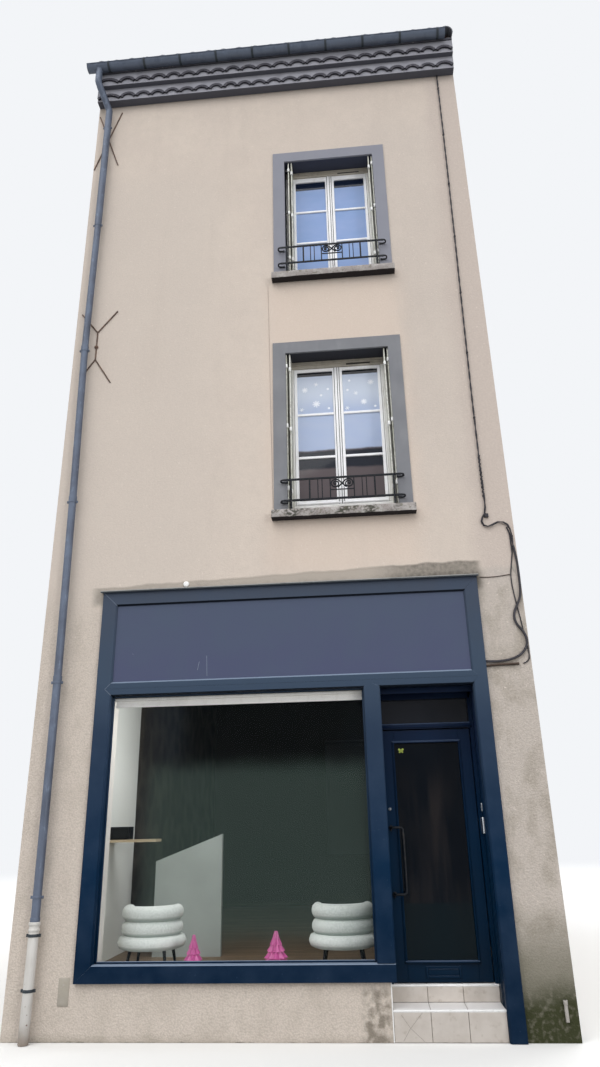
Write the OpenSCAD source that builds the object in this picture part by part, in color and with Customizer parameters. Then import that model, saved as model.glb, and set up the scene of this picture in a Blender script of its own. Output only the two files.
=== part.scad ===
// A three-storey terraced house with a shop on the ground floor.
// The street side faces -Y. The origin is on the underside, in the middle of the plan.

/* [House] */
// Width of the house between its neighbours
house_w = 4950; // [4900:10:5200]
// Depth from the street face to the rear face
house_d = 8000; // [7000:100:10000]
// Thickness of the street wall and the rear wall
wall_t = 500; // [480:10:560]
// Thickness of each party wall
party_t = 350; // [250:10:380]
// Level of the shop floor above the lowest ground
shop_floor = 375; // [360:5:390]
// Level of the first floor
first_floor_level = 4450; // [4400:10:4600]
// Level of the second floor
second_floor_level = 7620; // [7500:10:7700]
// Thickness of a floor
floor_t = 260; // [180:10:300]
// Height of the walls where the cornice begins
wall_h = 11225; // [11150:5:11300]

/* [Cornice and roof] */
// Height of one course of the cornice
course_h = 200; // [180:5:210]
// How far the lower course stands out
lower_course_out = 125; // [100:5:140]
// How far the upper course stands out
upper_course_out = 205; // [180:5:205]
// Rise of the roof for each unit of run
roof_slope = 0.30; // [0.25:0.01:0.34]
// Thickness of the boards under the tiles
boards_t = 40; // [38:1:60]
// Height of the two layers of tiles
tiles_t = 110; // [90:5:130]
// Radius of a gutter
gutter_r = 66; // [60:1:66]

/* [Shopfront] */
// Left edge of the shopfront
shop_left = -1847; // [-1900:1:-1800]
// Right edge of the shopfront
shop_right = 2034; // [2000:1:2060]
// Underside of the shop window frame
shop_bottom = 445; // [430:5:470]
// Top of the shopfront
shop_top = 4040; // [4000:10:4080]
// Width of the frame boards of the shopfront
board_w = 158; // [140:1:165]
// How far the frame boards stand out from the wall
board_out = 40; // [30:1:50]
// How far the window frame reaches into the wall
board_in = 65; // [60:5:80]
// Left side of the post between window and door
mullion_left = 832; // [800:1:850]
// Right side of the post between window and door
mullion_right = 993; // [985:1:1000]
// Underside of the board over the window and the door
window_head = 2955; // [2900:5:2970]
// Top of the board under the sign panel
sign_bottom = 3092; // [3080:1:3110]

/* [Door] */
// How far the door frame is set back from the wall face
door_back = 300; // [280:5:310]
// Width of the door leaf
leaf_w = 872; // [860:1:872]
// Thickness of the door leaf
leaf_t = 45; // [40:1:50]
// Top of the door leaf
leaf_top = 2570; // [2500:5:2600]

/* [Windows] */
// Width of the windows on the first floor
first_window_w = 1200; // [1100:10:1240]
// Sill level of the first floor windows
first_sill = 4865; // [4850:5:4900]
// Head level of the first floor windows
first_head = 6895; // [6800:5:6950]
// Width of the windows on the second floor
second_window_w = 1160; // [1100:10:1200]
// Sill level of the second floor windows
second_sill = 8035; // [8000:5:8080]
// Head level of the second floor windows
second_head = 9905; // [9800:5:9950]
// Middle of the street windows, from the middle of the house
window_x = 715; // [650:5:750]
// Sill level of the rear window on the ground floor
rear_sill = 1350; // [1200:10:1500]
// Head level of the rear window on the ground floor
rear_head = 3150; // [3000:10:3300]
// How far a window frame is set back from the wall face
window_back = 200; // [180:5:220]

/* [Hidden] */
$fn = 48;

half_w = house_w / 2;
inner_x = half_w - party_t;
street_y = -house_d / 2;
rear_y = house_d / 2;
cornice_top = wall_h + 2 * course_h;

render_pink = "#CDBFB2";
render_rough = "#B8AA9A";
cornice_grey = "#8E8A90";
surround_grey = "#7A7B82";
sill_stone = "#A9A39B";
zinc = "#5C6872";
boot_grey = "#B9B7AF";
shop_blue = "#2B3D55";
sign_blue = "#4C5166";
door_blue = "#10213F";
window_cream = "#DAD6C8";
shutter_green = "#C9CBB8";
iron_black = "#2E3A40";
tile_clay = "#8C6A58";
glass_blue = "#9DB4C8";
tile_step = "#CFC5BA";
plaster_white = "#E4E2DC";
oak_floor = "#A08563";

// Places on Y: a depth behind the street face, or behind the rear face
function street(depth) = street_y + depth;
function rear(depth) = rear_y - depth;

// A block between two places on each axis
module block(x, y, z)
    translate([x[0], y[0], z[0]]) cube([x[1] - x[0], y[1] - y[0], z[1] - z[0]]);

// A profile drawn in Y and Z, drawn out along X
module along_x(x) translate([x[0], 0, 0]) rotate([90, 0, 90]) linear_extrude(x[1] - x[0]) children();

// A round bar from one point to another
module bar(from, to, r) {
    run = to - from;
    length = norm(run);
    translate(from) rotate([0, acos(run[2] / length), atan2(run[1], run[0])]) cylinder(h = length, r = r);
}

// Underside of the roof at a distance in from the street face or the rear face
function roof_under(depth) = cornice_top + roof_slope * (depth + upper_course_out);
ridge_under = roof_under(house_d / 2);

// The two sides are alike, so the rear is the street side turned half way round
module to_rear() rotate([0, 0, 180]) children();

// Walls

// Levels and edges shared by the walls and the shopfront; the boards lap over the edges of the wall
lintel_level = 3030;
pier_lap_left = 67;
pier_lap_right = 79;
right_board_w = 144;
frame_in_left = shop_left + board_w;
door_right = shop_right - right_board_w;
pier_left_in = shop_left + pier_lap_left;
pier_right_in = shop_right - pier_lap_right;

module front_pier_left()
    color(render_rough) block([-half_w, pier_left_in], [street(0), street(wall_t)], [0, lintel_level]);

module front_pier_right()
    color(render_rough) block([pier_right_in, half_w], [street(0), street(wall_t)], [0, lintel_level]);

steps_left = 948;
module stall_riser()
    color(render_rough) block([pier_left_in, steps_left], [street(0), street(wall_t)], [0, shop_bottom]);

// Window openings: middle, width, sill and head
sill_t = 95;
sill_out = 100;
lining_t = 10;
module opening(middle, w, sill, head) {
    wide = w / 2 + lining_t;
    block([middle - wide, middle + wide], [street(-1), street(wall_t + 1)], [sill, head + lining_t]);
    sill_block(middle, w, sill);
}
sill_past = 170;
casement_t = 60;
module sill_block(middle, w, sill)
    block([middle - w / 2 - sill_past, middle + w / 2 + sill_past],
        [street(-sill_out), street(window_back + casement_t)], [sill - sill_t, sill]);

module front_wall_first_floor() color(render_pink) difference() {
    block([-half_w, half_w], [street(0), street(wall_t)], [lintel_level, second_floor_level]);
    opening(window_x, first_window_w, first_sill, first_head);
}

// The top of each long wall follows the slope of the roof
module top_storey_wall(middle) difference() {
    along_x([-half_w, half_w]) polygon([[street(0), second_floor_level], [street(wall_t), second_floor_level],
        [street(wall_t), roof_under(wall_t)], [street(0), roof_under(0)]]);
    opening(middle, second_window_w, second_sill, second_head);
}

module front_wall_second_floor() color(render_pink) top_storey_wall(window_x);

module party_wall(x) color(render_pink) along_x(x) polygon([
    [street(wall_t), 0], [rear(wall_t), 0], [rear(wall_t), roof_under(wall_t)], [0, ridge_under],
    [street(wall_t), roof_under(wall_t)]]);
module party_wall_left() party_wall([-half_w, -inner_x]);
module party_wall_right() party_wall([inner_x, half_w]);

module rear_wall_ground_floor() color(render_rough) to_rear() difference() {
    block([-half_w, half_w], [street(0), street(wall_t)], [0, first_floor_level]);
    opening(-window_x, first_window_w, rear_sill, rear_head);
}
module rear_wall_first_floor() color(render_pink) to_rear() difference() {
    block([-half_w, half_w], [street(0), street(wall_t)], [first_floor_level, second_floor_level]);
    opening(-window_x, first_window_w, first_sill, first_head);
}
module rear_wall_second_floor() color(render_pink) to_rear() top_storey_wall(-window_x);

// Floors, and the low partition that shows through the shop window

module floor_slab(top, thick)
    block([-inner_x, inner_x], [street(wall_t), rear(wall_t)], [top - thick, top]);
module ground_floor() color(oak_floor) floor_slab(shop_floor, shop_floor);
module first_floor() color(oak_floor) floor_slab(first_floor_level, floor_t);
module second_floor() color(oak_floor) floor_slab(second_floor_level, floor_t);

partition_depth = 1960;
partition_t = 70;
partition_x = [-1675, -900];
partition_tops = [1355, 1636];
module shop_partition()
    color(plaster_white) translate([0, street(partition_depth), 0]) rotate([90, 0, 0])
        linear_extrude(partition_t) polygon([[partition_x[0], shop_floor], [partition_x[1], shop_floor],
            [partition_x[1], partition_tops[1]], [partition_x[0], partition_tops[0]]]);

shelf_end = -1567;
shelf_depth = [1430, 1680];
shelf_top = 1600;
shelf_t = 28;
module wall_shelf() color(oak_floor)
    block([-inner_x, shelf_end], [street(shelf_depth[0]), street(shelf_depth[1])],
        [shelf_top - shelf_t, shelf_top]);

// Cornice: two stepped courses, the upper one cut to the slope of the roof

module cornice() {
    lower = [street(-lower_course_out), wall_h];
    upper = [street(-upper_course_out), wall_h + course_h];
    along_x([-half_w, half_w]) polygon([[street(0), lower[1]], lower, [lower[0], upper[1]], upper,
        [upper[0], cornice_top], [street(0), roof_under(0)]]);
}
module cornice_front() color(cornice_grey) cornice();
module cornice_rear() color(cornice_grey) to_rear() cornice();

// Roof: boards, a layer of channel tiles that reaches out over the gutter, and rows of cover tiles on it

boards_end = upper_course_out + 5;
tiles_end = 268;
pitch = atan(roof_slope);
row_gaps = 22;
row_edge = 4;
row_short = 125;
row_sunk = 10;
cover_half = 83;
cover_h = 52;
channels_lift = boards_t + tiles_t - cover_h;
function slope_at(out, lift) = [street(-out), roof_under(-out) + lift];
// One row of cover tiles, as a bar with a flat crown that runs up the slope
module cover_row(x) {
    crown = cover_h * cos(pitch);
    translate([x, street(-tiles_end), roof_under(-tiles_end) + channels_lift]) rotate([90 - pitch, 0, 180])
        linear_extrude((house_d / 2 + tiles_end - row_short) / cos(pitch)) polygon([
            [-cover_half, -row_sunk], [cover_half, -row_sunk], [cover_half, 0], [0.75 * cover_half, 0.7 * crown],
            [0.3 * cover_half, crown], [-0.3 * cover_half, crown], [-0.75 * cover_half, 0.7 * crown],
            [-cover_half, 0]]);
}
module roof_half() {
    along_x([-half_w, half_w]) polygon([slope_at(boards_end, 0), slope_at(boards_end, boards_t),
        slope_at(tiles_end, boards_t), slope_at(tiles_end, channels_lift),
        [0, ridge_under + channels_lift], [0, ridge_under]]);
    first_row = -half_w + cover_half + row_edge;
    for (i = [0 : row_gaps]) cover_row(first_row - i * 2 * first_row / row_gaps);
}
module roof_front() color(tile_clay) roof_half();
module roof_rear() color(tile_clay) to_rear() roof_half();

// The ridge lies on the channel tiles, between the rows of cover tiles of the two slopes
ridge_r = 120;
ridge_sunk = 45;
module ridge_tiles() {
    bed = ridge_under + channels_lift;
    fall = roof_slope * 2 * ridge_r;
    color(tile_clay) along_x([-half_w, half_w]) difference() {
        translate([0, ridge_under + boards_t + tiles_t - ridge_sunk]) circle(ridge_r);
        polygon([[-2 * ridge_r, bed - 4 * ridge_r], [2 * ridge_r, bed - 4 * ridge_r],
            [2 * ridge_r, bed - fall], [0, bed], [-2 * ridge_r, bed - fall]]);
    }
}

// Gutters and downpipes

gutter_out = 285;
gutter_rim = 11629;
gutter_t = 3;
gutter_left = -2560;
gutter_right = 2375;
bracket_gap = 490;
bracket_first = 220;
bracket_w = 30;
bracket_t = 5;
module half_ring(r, t) intersection() {
    difference() {
        circle(r + t);
        circle(r);
    }
    translate([-2 * r, -2 * r]) square([4 * r, 2 * r]);
}
module gutter_brackets(from, to) for (x = [from : bracket_gap : to]) {
    along_x([x, x + bracket_w]) translate([street(-gutter_out), gutter_rim])
        half_ring(gutter_r + gutter_t, bracket_t);
    block([x, x + bracket_w], [street(-gutter_out + gutter_r + gutter_t), street(-upper_course_out)],
        [gutter_rim - 5 * bracket_t, gutter_rim - 2 * bracket_t]);
}
module gutter(from, to, outlet_x) {
    at = [street(-gutter_out), gutter_rim];
    along_x([from, to]) translate(at) half_ring(gutter_r, gutter_t);
    for (x = [from, to - gutter_t]) along_x([x, x + gutter_t]) translate(at) difference() {
        circle(gutter_r);
        translate([-2 * gutter_r, 0]) square(4 * gutter_r);
    }
    gutter_brackets(from + bracket_first, to);
}
module front_gutter() color(zinc) gutter(gutter_left, gutter_right);
module rear_gutter() color(zinc) to_rear() gutter(-half_w, half_w);

pipe_r = 40;
pipe_off = 85;
neck_top = 11400;
neck_foot = 11060;
boot_top = 945;
clip_h = 25;
clip_w = 16;
clip_t = 6;
bend_r = pipe_r + 5;
outlet_x = -2415;
// Middle of the pipe, as place on X and level, at each joint between its lengths
pipe_run = [[-2228, boot_top], [-2240, 3130], [-2268, 5120], [-2305, 7108], [-2297, 9040], [-2298, neck_foot]];
pipe_clips = [[-2298, 10720], [-2297, 8995], [-2305, 7063], [-2268, 5075], [-2240, 3085], [-2229, 1133]];
// The lengths stop short of each other inside a collar
collar_below = 8;
collar_h = 30;
stop_short = 4;
// Ring round a pipe, with an arm to the wall
module pipe_clip(x, z, r) {
    translate([x, street(-pipe_off), z]) cylinder(h = clip_h, r = r + clip_t);
    block([x - clip_w / 2, x + clip_w / 2], [street(-pipe_off), street(0)], [z, z + clip_h]);
}
// Swan neck from the outlet of the gutter back to the wall, with a bead at each bend
module swan_neck(x_top, x_foot) {
    knee = [x_top, street(-gutter_out), neck_top];
    ankle = [x_foot, street(-pipe_off), neck_foot];
    translate(knee) cylinder(h = gutter_rim - gutter_r - gutter_t - neck_top, r = pipe_r);
    bar(ankle, knee, pipe_r);
    for (bend = [knee, ankle]) translate(bend) sphere(bend_r);
}
module downpipe() color(zinc) {
    last = len(pipe_run) - 1;
    swan_neck(outlet_x, pipe_run[last][0]);
    for (i = [0 : last - 1]) {
        low = [pipe_run[i][0], street(-pipe_off), pipe_run[i][1] + stop_short];
        high = [pipe_run[i + 1][0], street(-pipe_off), pipe_run[i + 1][1] - (i + 1 < last ? stop_short : 0)];
        bar(low, high, pipe_r);
        translate([low[0], low[1], pipe_run[i][1] - (i == 0 ? 0 : collar_below)])
            cylinder(h = collar_h, r = bend_r);
    }
    for (clip = pipe_clips) pipe_clip(clip[0], clip[1], pipe_r);
}

boot_r = 47;
boot_x = pipe_run[0][0];
boot_ring_h = 30;
boot_clips = [393, 824];
module downpipe_boot() color(boot_grey) {
    translate([boot_x, street(-pipe_off), 0]) cylinder(h = boot_top, r = boot_r);
    for (z = [boot_top - 2.5 * boot_ring_h, boot_top - boot_ring_h])
        translate([boot_x, street(-pipe_off), z]) cylinder(h = boot_ring_h, r = boot_r + clip_t);
    for (z = boot_clips) pipe_clip(boot_x, z, boot_r);
}

rear_pipe_x = 2250;
module rear_downpipe() color(zinc) to_rear() {
    swan_neck(rear_pipe_x, rear_pipe_x);
    translate([rear_pipe_x, street(-pipe_off), 0]) cylinder(h = neck_foot, r = pipe_r);
    for (clip = pipe_clips) pipe_clip(rear_pipe_x, clip[1], pipe_r);
}

// Iron wall anchors: a cross high up, and two forks on one stem below it

anchor_t = 12;
iron_w = 22;
module flat_iron(from, to) {
    run = to - from;
    translate(from) rotate(atan2(run[1], run[0])) translate([0, -iron_w / 2]) square([norm(run), iron_w]);
}
// A flat shape seen from the street, as plate lying on the wall
module on_wall(thick) translate([0, street(0), 0]) rotate([90, 0, 0]) linear_extrude(thick) children();
module wall_anchors() color(iron_black) {
    on_wall(anchor_t) {
        flat_iron([-2465, 10070], [-2140, 11105]);
        flat_iron([-2135, 10120], [-2455, 11060]);
    }
    on_wall(anchor_t) {
        flat_iron([-2195, 6990], [-2195, 7400]);
        for (end = [[-2415, 7675], [-1965, 7690]]) flat_iron([-2195, 7390], end);
        for (end = [[-2365, 6730], [-1985, 6660]]) flat_iron([-2195, 7000], end);
    }
    on_wall(anchor_t + 14) translate([-2195, 7177]) circle(24);
}

// Shopfront

sign_head = 3886;
rail_top = shop_bottom + 144;
frame_y = [street(-board_out), street(board_in)];
on_wall_y = [street(-board_out), street(0)];
module shopfront_frame() color(shop_blue) {
    // Boards on the face of the wall
    block([shop_left, frame_in_left], on_wall_y, [shop_bottom, shop_top]);
    block([door_right, shop_right], on_wall_y, [0, shop_top]);
    block([shop_left, shop_right], on_wall_y, [sign_head, shop_top]);
    block([shop_left, shop_right], on_wall_y, [window_head, sign_bottom]);
    // Deep boards round the window and over the doorway
    block([pier_left_in, frame_in_left], frame_y, [shop_bottom, lintel_level]);
    block([shop_left, mullion_right], on_wall_y, [shop_bottom, rail_top]);
    block([pier_left_in, mullion_right], frame_y, [shop_bottom, rail_top]);
    block([mullion_left, mullion_right], frame_y, [shop_bottom, lintel_level]);
    block([pier_left_in, pier_right_in], frame_y, [window_head, lintel_level]);
    block([door_right, pier_right_in], frame_y, [0, lintel_level]);
}

sign_t = 18;
module sign_panel() color(sign_blue)
    block([frame_in_left, door_right], [street(-sign_t), street(0)], [sign_bottom, sign_head]);

cap_out = board_out + 30;
cap_x = [shop_left - 25, shop_right + 15];
cap_t = 6;
cap_lip = 12;
module drip_cap() color(zinc) {
    block(cap_x, [street(-cap_out), street(0)], [shop_top, shop_top + cap_t]);
    block(cap_x, [street(-cap_out), street(-cap_out + cap_t)], [shop_top - cap_lip, shop_top + cap_t]);
}

glass_depth = 50;
shop_glass_t = 10;
module shop_window_glass() color(glass_blue, 0.4)
    block([frame_in_left, mullion_left], [street(glass_depth), street(glass_depth + shop_glass_t)],
        [rail_top, window_head]);

blind_t = 85;
blind_drop = 95;
module blind_box() color("white")
    block([frame_in_left, mullion_left], [street(board_in), street(board_in + blind_t)],
        [window_head - blind_drop, lintel_level]);

// Lined recess in front of the door

frame_depth = 80;
lining_left = mullion_left + 60;
fascia_depth = [110, 140];
fascia_foot = 2901;
module doorway_lining() color(shop_blue) {
    lining_y = [street(board_in), street(door_back + frame_depth)];
    block([door_right, pier_right_in], [street(board_in), street(wall_t)], [0, lintel_level]);
    block([lining_left, door_right], lining_y, [window_head, lintel_level]);
    block([steps_left, door_right], [street(fascia_depth[0]), street(fascia_depth[1])],
        [fascia_foot, window_head]);
    block([lining_left, steps_left], lining_y, [shop_bottom, window_head]);
}

// Door frame, with a transom bar over the leaf

door_gap = 8;
post_right = 30;
post_left = door_right - post_right - door_gap - leaf_w - door_gap;
door_y = [street(door_back), street(door_back + frame_depth)];
transom_top = 2635;
head_bottom = 2865;
module door_frame() color(door_blue) {
    block([steps_left, post_left], door_y, [shop_floor, window_head]);
    block([door_right - post_right, door_right], door_y, [shop_floor, window_head]);
    block([steps_left, door_right], door_y, [head_bottom, window_head]);
    block([steps_left, door_right], door_y, [leaf_top + door_gap, transom_top]);
}
transom_pane = [street(door_back + 30), street(door_back + 38)];
module transom_glass() color(glass_blue, 0.4)
    block([post_left, door_right - post_right], transom_pane,
        [transom_top, head_bottom]);

// Hinges: each has a fixed knuckle with a pin, and a loose knuckle on the leaf

hinge_x = door_right - post_right - 4;
hinge_depth = door_back + 95;
hinge_levels = [650, 1450, 2250];
knuckle_r = 9;
knuckle_h = 50;
pin_r = 4;
module door_hinges() color(iron_black) for (z = hinge_levels) {
    translate([hinge_x, street(hinge_depth), z]) {
        cylinder(h = knuckle_h, r = knuckle_r);
        cylinder(h = 2 * knuckle_h, r = pin_r);
    }
    block([hinge_x, hinge_x + 28], [street(door_back + frame_depth), street(hinge_depth)], [z, z + knuckle_h]);
}

leaf_left = post_left + door_gap;
leaf_right = leaf_left + leaf_w;
leaf_bottom = shop_floor + door_gap;
leaf_y = [street(door_back + 25), street(door_back + 25 + leaf_t)];
light_left = 1105;
light_right = 1732;
light_bottom = 555;
light_top = 2445;
bead_w = 25;
bead_t = 12;
module door_leaf() color(door_blue) {
    difference() {
        block([leaf_left, leaf_right], leaf_y, [leaf_bottom, leaf_top]);
        block([light_left, light_right], [leaf_y[0] - 1, leaf_y[1] + 1], [light_bottom, light_top]);
    }
    // Bead round the glass
    difference() {
        block([light_left - bead_w, light_right + bead_w], [leaf_y[0] - bead_t, leaf_y[0]],
            [light_bottom - bead_w, light_top + bead_w]);
        block([light_left, light_right], [leaf_y[0] - bead_t - 1, leaf_y[0] + 1], [light_bottom, light_top]);
    }
    for (z = hinge_levels) difference() {
        union() {
            translate([hinge_x, street(hinge_depth), z + knuckle_h + 1])
                cylinder(h = knuckle_h - 1, r = knuckle_r);
            block([hinge_x - 30, hinge_x], [leaf_y[1], street(hinge_depth)],
                [z + knuckle_h + 1, z + 2 * knuckle_h]);
        }
        translate([hinge_x, street(hinge_depth), z]) cylinder(h = 3 * knuckle_h, r = pin_r + 0.4);
    }
}

module door_glass() color(glass_blue, 0.4)
    block([light_left, light_right], [leaf_y[0] + 18, leaf_y[0] + 26], [light_bottom, light_top]);

// Pull handle, one bar bent to the side, and the lock above it
handle_x = 1028;
grip_x = 1165;
grip_out = 70;
handle_levels = [1098, 1672];
handle_r = 12;
rose_t = 10;
lock_level = 1838;
// A round plate on the street side of the leaf
module rose(z, r, t) translate([handle_x, leaf_y[0] - t, z]) rotate([-90, 0, 0]) cylinder(h = t, r = r);
module door_handle() color(iron_black) {
    grip_y = leaf_y[0] - grip_out;
    for (z = handle_levels) {
        rose(z, 22, rose_t);
        bar([handle_x, leaf_y[0] - rose_t / 2, z], [handle_x, grip_y, z], handle_r);
        translate([handle_x, grip_y, z]) sphere(handle_r);
        bar([handle_x, grip_y, z], [grip_x, grip_y, z], handle_r);
        translate([grip_x, grip_y, z]) sphere(handle_r);
    }
    bar([grip_x, grip_y, handle_levels[0]], [grip_x, grip_y, handle_levels[1]], handle_r);
    rose(lock_level, 16, 12);
}

letter_x = [1263, 1575];
letter_z = [416, 512];
module letter_plate() color(door_blue) block(letter_x, [leaf_y[0] - 14, leaf_y[0]], letter_z);

// Two steps: the lower tread is flush with the wall face
tread_d = 288;
lower_tread = 237;
module door_steps() color(tile_step) {
    block([steps_left, door_right], [street(0), street(wall_t)], [0, lower_tread]);
    block([steps_left, door_right], [street(tread_d), street(wall_t)], [lower_tread, shop_floor]);
}

// Small metal housing with a bell, on the right side of the recess
plate_t = 20;
plate_depth = [150, 295];
plate_z = [1605, 1745];
module entry_panel() color("silver")
    block([door_right - plate_t, door_right], [street(plate_depth[0]), street(plate_depth[1])], plate_z);

// Upper windows: surround, sill, frame, glass, shutters and guard rail

band_w = 150;
band_t = 15;
module surround(middle, w, sill, head) {
    difference() {
        block([middle - w / 2 - band_w, middle + w / 2 + band_w], [street(-band_t), street(0)],
            [sill, head + band_w]);
        block([middle - w / 2, middle + w / 2], [street(-band_t - 1), street(1)], [sill - 1, head]);
    }
    difference() {
        block([middle - w / 2 - lining_t, middle + w / 2 + lining_t], [street(0), street(wall_t)],
            [sill, head + lining_t]);
        block([middle - w / 2, middle + w / 2], [street(-1), street(wall_t + 1)], [sill - 1, head]);
    }
}
module window_surrounds() color(surround_grey) {
    surround(window_x, first_window_w, first_sill, first_head);
    surround(window_x, second_window_w, second_sill, second_head);
    to_rear() {
        surround(-window_x, first_window_w, rear_sill, rear_head);
        surround(-window_x, first_window_w, first_sill, first_head);
        surround(-window_x, second_window_w, second_sill, second_head);
    }
}

module window_sills() color(sill_stone) {
    sill_block(window_x, first_window_w, first_sill);
    sill_block(window_x, second_window_w, second_sill);
    to_rear() {
        sill_block(-window_x, first_window_w, rear_sill);
        sill_block(-window_x, first_window_w, first_sill);
        sill_block(-window_x, second_window_w, second_sill);
    }
}

meeting_w = 118;
stile_w = 36;
// Places of the two lights in a window: frame gives the width of frame shown left, right, below and above
function lights(middle, w, frame) = let(
    from = middle - w / 2 + frame[0] + stile_w,
    to = middle + w / 2 - frame[1] - stile_w,
    half = (to - from - meeting_w) / 2)
    [[from, from + half], [to - half, to]];
module casement(middle, w, sill, head, frame) difference() {
    block([middle - w / 2, middle + w / 2], [street(window_back), street(window_back + casement_t)],
        [sill, head]);
    for (light = lights(middle, w, frame))
        block(light, [street(window_back - 1), street(window_back + casement_t + 1)],
            [sill + frame[2], head - frame[3]]);
}
module panes(middle, w, sill, head, frame) for (light = lights(middle, w, frame))
    block(light, [street(window_back + 26), street(window_back + 34)], [sill + frame[2], head - frame[3]]);

first_frame = [66, 107, 220, 167];
second_frame = [92, 88, 152, 170];
module first_floor_window() color(window_cream)
    casement(window_x, first_window_w, first_sill, first_head, first_frame);
module second_floor_window() color(window_cream)
    casement(window_x, second_window_w, second_sill, second_head, second_frame);
module rear_windows() color(window_cream) to_rear() {
    casement(-window_x, first_window_w, rear_sill, rear_head, second_frame);
    casement(-window_x, first_window_w, first_sill, first_head, second_frame);
    casement(-window_x, second_window_w, second_sill, second_head, second_frame);
}
module window_glass() color(glass_blue, 0.4) {
    panes(window_x, first_window_w, first_sill, first_head, first_frame);
    panes(window_x, second_window_w, second_sill, second_head, second_frame);
    to_rear() {
        panes(-window_x, first_window_w, rear_sill, rear_head, second_frame);
        panes(-window_x, first_window_w, first_sill, first_head, second_frame);
        panes(-window_x, second_window_w, second_sill, second_head, second_frame);
    }
}

// Each shutter is two metal leaves folded flat against the side of the opening
shutter_t = 14;
shutter_step = 40;
shutter_depth = [12, window_back - 6];
shutter_foot = 12;
shutter_head = 8;
shutter_hinges = [0.15, 0.53, 0.92];
shutter_hinge_h = 60;
wall_hinge_r = 6;
hinge_apart = 50;
// The left shutter of the second floor stands off the side of its opening
second_left_gap = 46;
module folded_shutter(edge, side, sill, head, gap) {
    for (i = [0, 1]) {
        near = edge + side * (gap + i * shutter_step);
        far = near + side * shutter_t;
        block([min(near, far), max(near, far)], [street(shutter_depth[0]), street(shutter_depth[1])],
            [sill + shutter_foot, head - shutter_head]);
    }
    for (t = shutter_hinges) {
        level = sill + t * (head - sill) - shutter_hinge_h / 2;
        // Hinge on the side of the opening, and the hinge between the leaves below it
        translate([edge + side * (gap + shutter_t / 2), street(shutter_depth[0]), level])
            cylinder(h = shutter_hinge_h, r = wall_hinge_r);
        if (gap > 0)
            block([min(edge, edge + side * gap), max(edge, edge + side * gap)],
                [street(shutter_depth[0]), street(2 * shutter_depth[0])], [level, level + shutter_hinge_h]);
        translate([edge + side * (gap + (shutter_t + shutter_step) / 2), street(2 * shutter_depth[0]),
            level - hinge_apart])
            cylinder(h = shutter_hinge_h, r = (shutter_step - shutter_t) / 2 + 2);
    }
}
module shutters() color(shutter_green) {
    for (side = [-1, 1]) {
        folded_shutter(window_x + side * first_window_w / 2, -side, first_sill, first_head, 0);
        folded_shutter(window_x + side * second_window_w / 2, -side, second_sill, second_head,
            side < 0 ? second_left_gap : 0);
    }
}

// Guard rail: two flat rails whose ends turn back to the wall, bars, and a scroll panel
guard_out = 85;
guard_reach = 672;
rail_t = 14;
rail_h = 24;
rail_drop = 250;
turn_r = 31;
foot_w = 12;
post_x = 552;
post_t = 13;
panel_half = 128;
panel_t = 8;
panel_bar = [120, 130];
ring_x = 59;
ring_r = 56;
ring_drop = 65;
// Thickness of the bars at each distance from the middle
guard_bars = [[350, 10], [260, 6], [218, 6]];
// Right end of a rail in plan: it loops back to the face of the surround
module rail_end() {
    turn_x = guard_reach - rail_t / 2 - turn_r;
    translate([turn_x, -guard_out + turn_r]) difference() {
        circle(turn_r + rail_t / 2);
        circle(turn_r - rail_t / 2);
        translate([-2 * turn_r, -2 * turn_r]) square([2 * turn_r, 4 * turn_r]);
    }
    translate([turn_x - foot_w, -guard_out + 2 * turn_r - rail_t / 2])
        square([foot_w, guard_out - 2 * turn_r + rail_t / 2 - band_t]);
}
module guard_rail_bar(z) translate([0, street(0), z - rail_h / 2]) linear_extrude(rail_h) {
    front_half = guard_reach - rail_t / 2 - turn_r;
    for (flip = [0, 1]) mirror([flip, 0]) rail_end();
    translate([-front_half, -guard_out - rail_t / 2]) square([2 * front_half, rail_t]);
}
module guard_bar(x, t, z)
    block([x - t / 2, x + t / 2], [street(-guard_out - t / 2), street(-guard_out + t / 2)], z);
module guard_rail(sill, top) translate([window_x, 0, 0]) {
    low_rail = top - rail_drop;
    for (z = [low_rail, top]) guard_rail_bar(z);
    for (side = [-1, 1]) {
        guard_bar(side * post_x, post_t, [sill, top]);
        guard_bar(side * panel_half, panel_t, [low_rail, top]);
        for (each_bar = guard_bars) guard_bar(side * each_bar[0], each_bar[1], [low_rail, top]);
        translate([side * ring_x, street(-guard_out + panel_t / 2), top - ring_drop]) rotate([90, 0, 0])
            linear_extrude(panel_t) difference() {
                circle(ring_r);
                circle(ring_r - panel_t);
            }
    }
    block([-panel_half, panel_half], [street(-guard_out - panel_t / 2), street(-guard_out + panel_t / 2)],
        [top - panel_bar[1], top - panel_bar[0]]);
}
module first_guard_rail() color(iron_black) guard_rail(first_sill, 5225);
module second_guard_rail() color(iron_black) guard_rail(second_sill, 8425);

// Cable clipped to the street wall, from the cornice down to the side of the shopfront
cable_r = 9;
cable_off = 10;
cable_route = [[2251, wall_h], [2246, 10200], [2238, 9200], [2228, 8200], [2216, 7200], [2206, 6200],
    [2203, 5300], [2208, 4880], [2206, 4790], [2192, 4725], [2166, 4680], [2152, 4635], [2168, 4591],
    [2211, 4574], [2260, 4591], [2316, 4618], [2371, 4616], [2412, 4583], [2434, 4530], [2440, 4445],
    [2442, 4345], [2452, 4255], [2460, 4170], [2460, 4065], [2460, 3960], [2452, 3820], [2416, 3740],
    [2373, 3663], [2357, 3591], [2376, 3520], [2424, 3460], [2453, 3394], [2455, 3324], [2421, 3257],
    [2362, 3206], [2286, 3176], [2191, 3161], [2107, 3159], [2035, 3165]];
cable_sides = 8;
cable_last = len(cable_route) - 1;
function cable_heading(i) = let(
    run = cable_route[min(i + 1, cable_last)] - cable_route[max(i - 1, 0)])
    run / norm(run);
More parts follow.
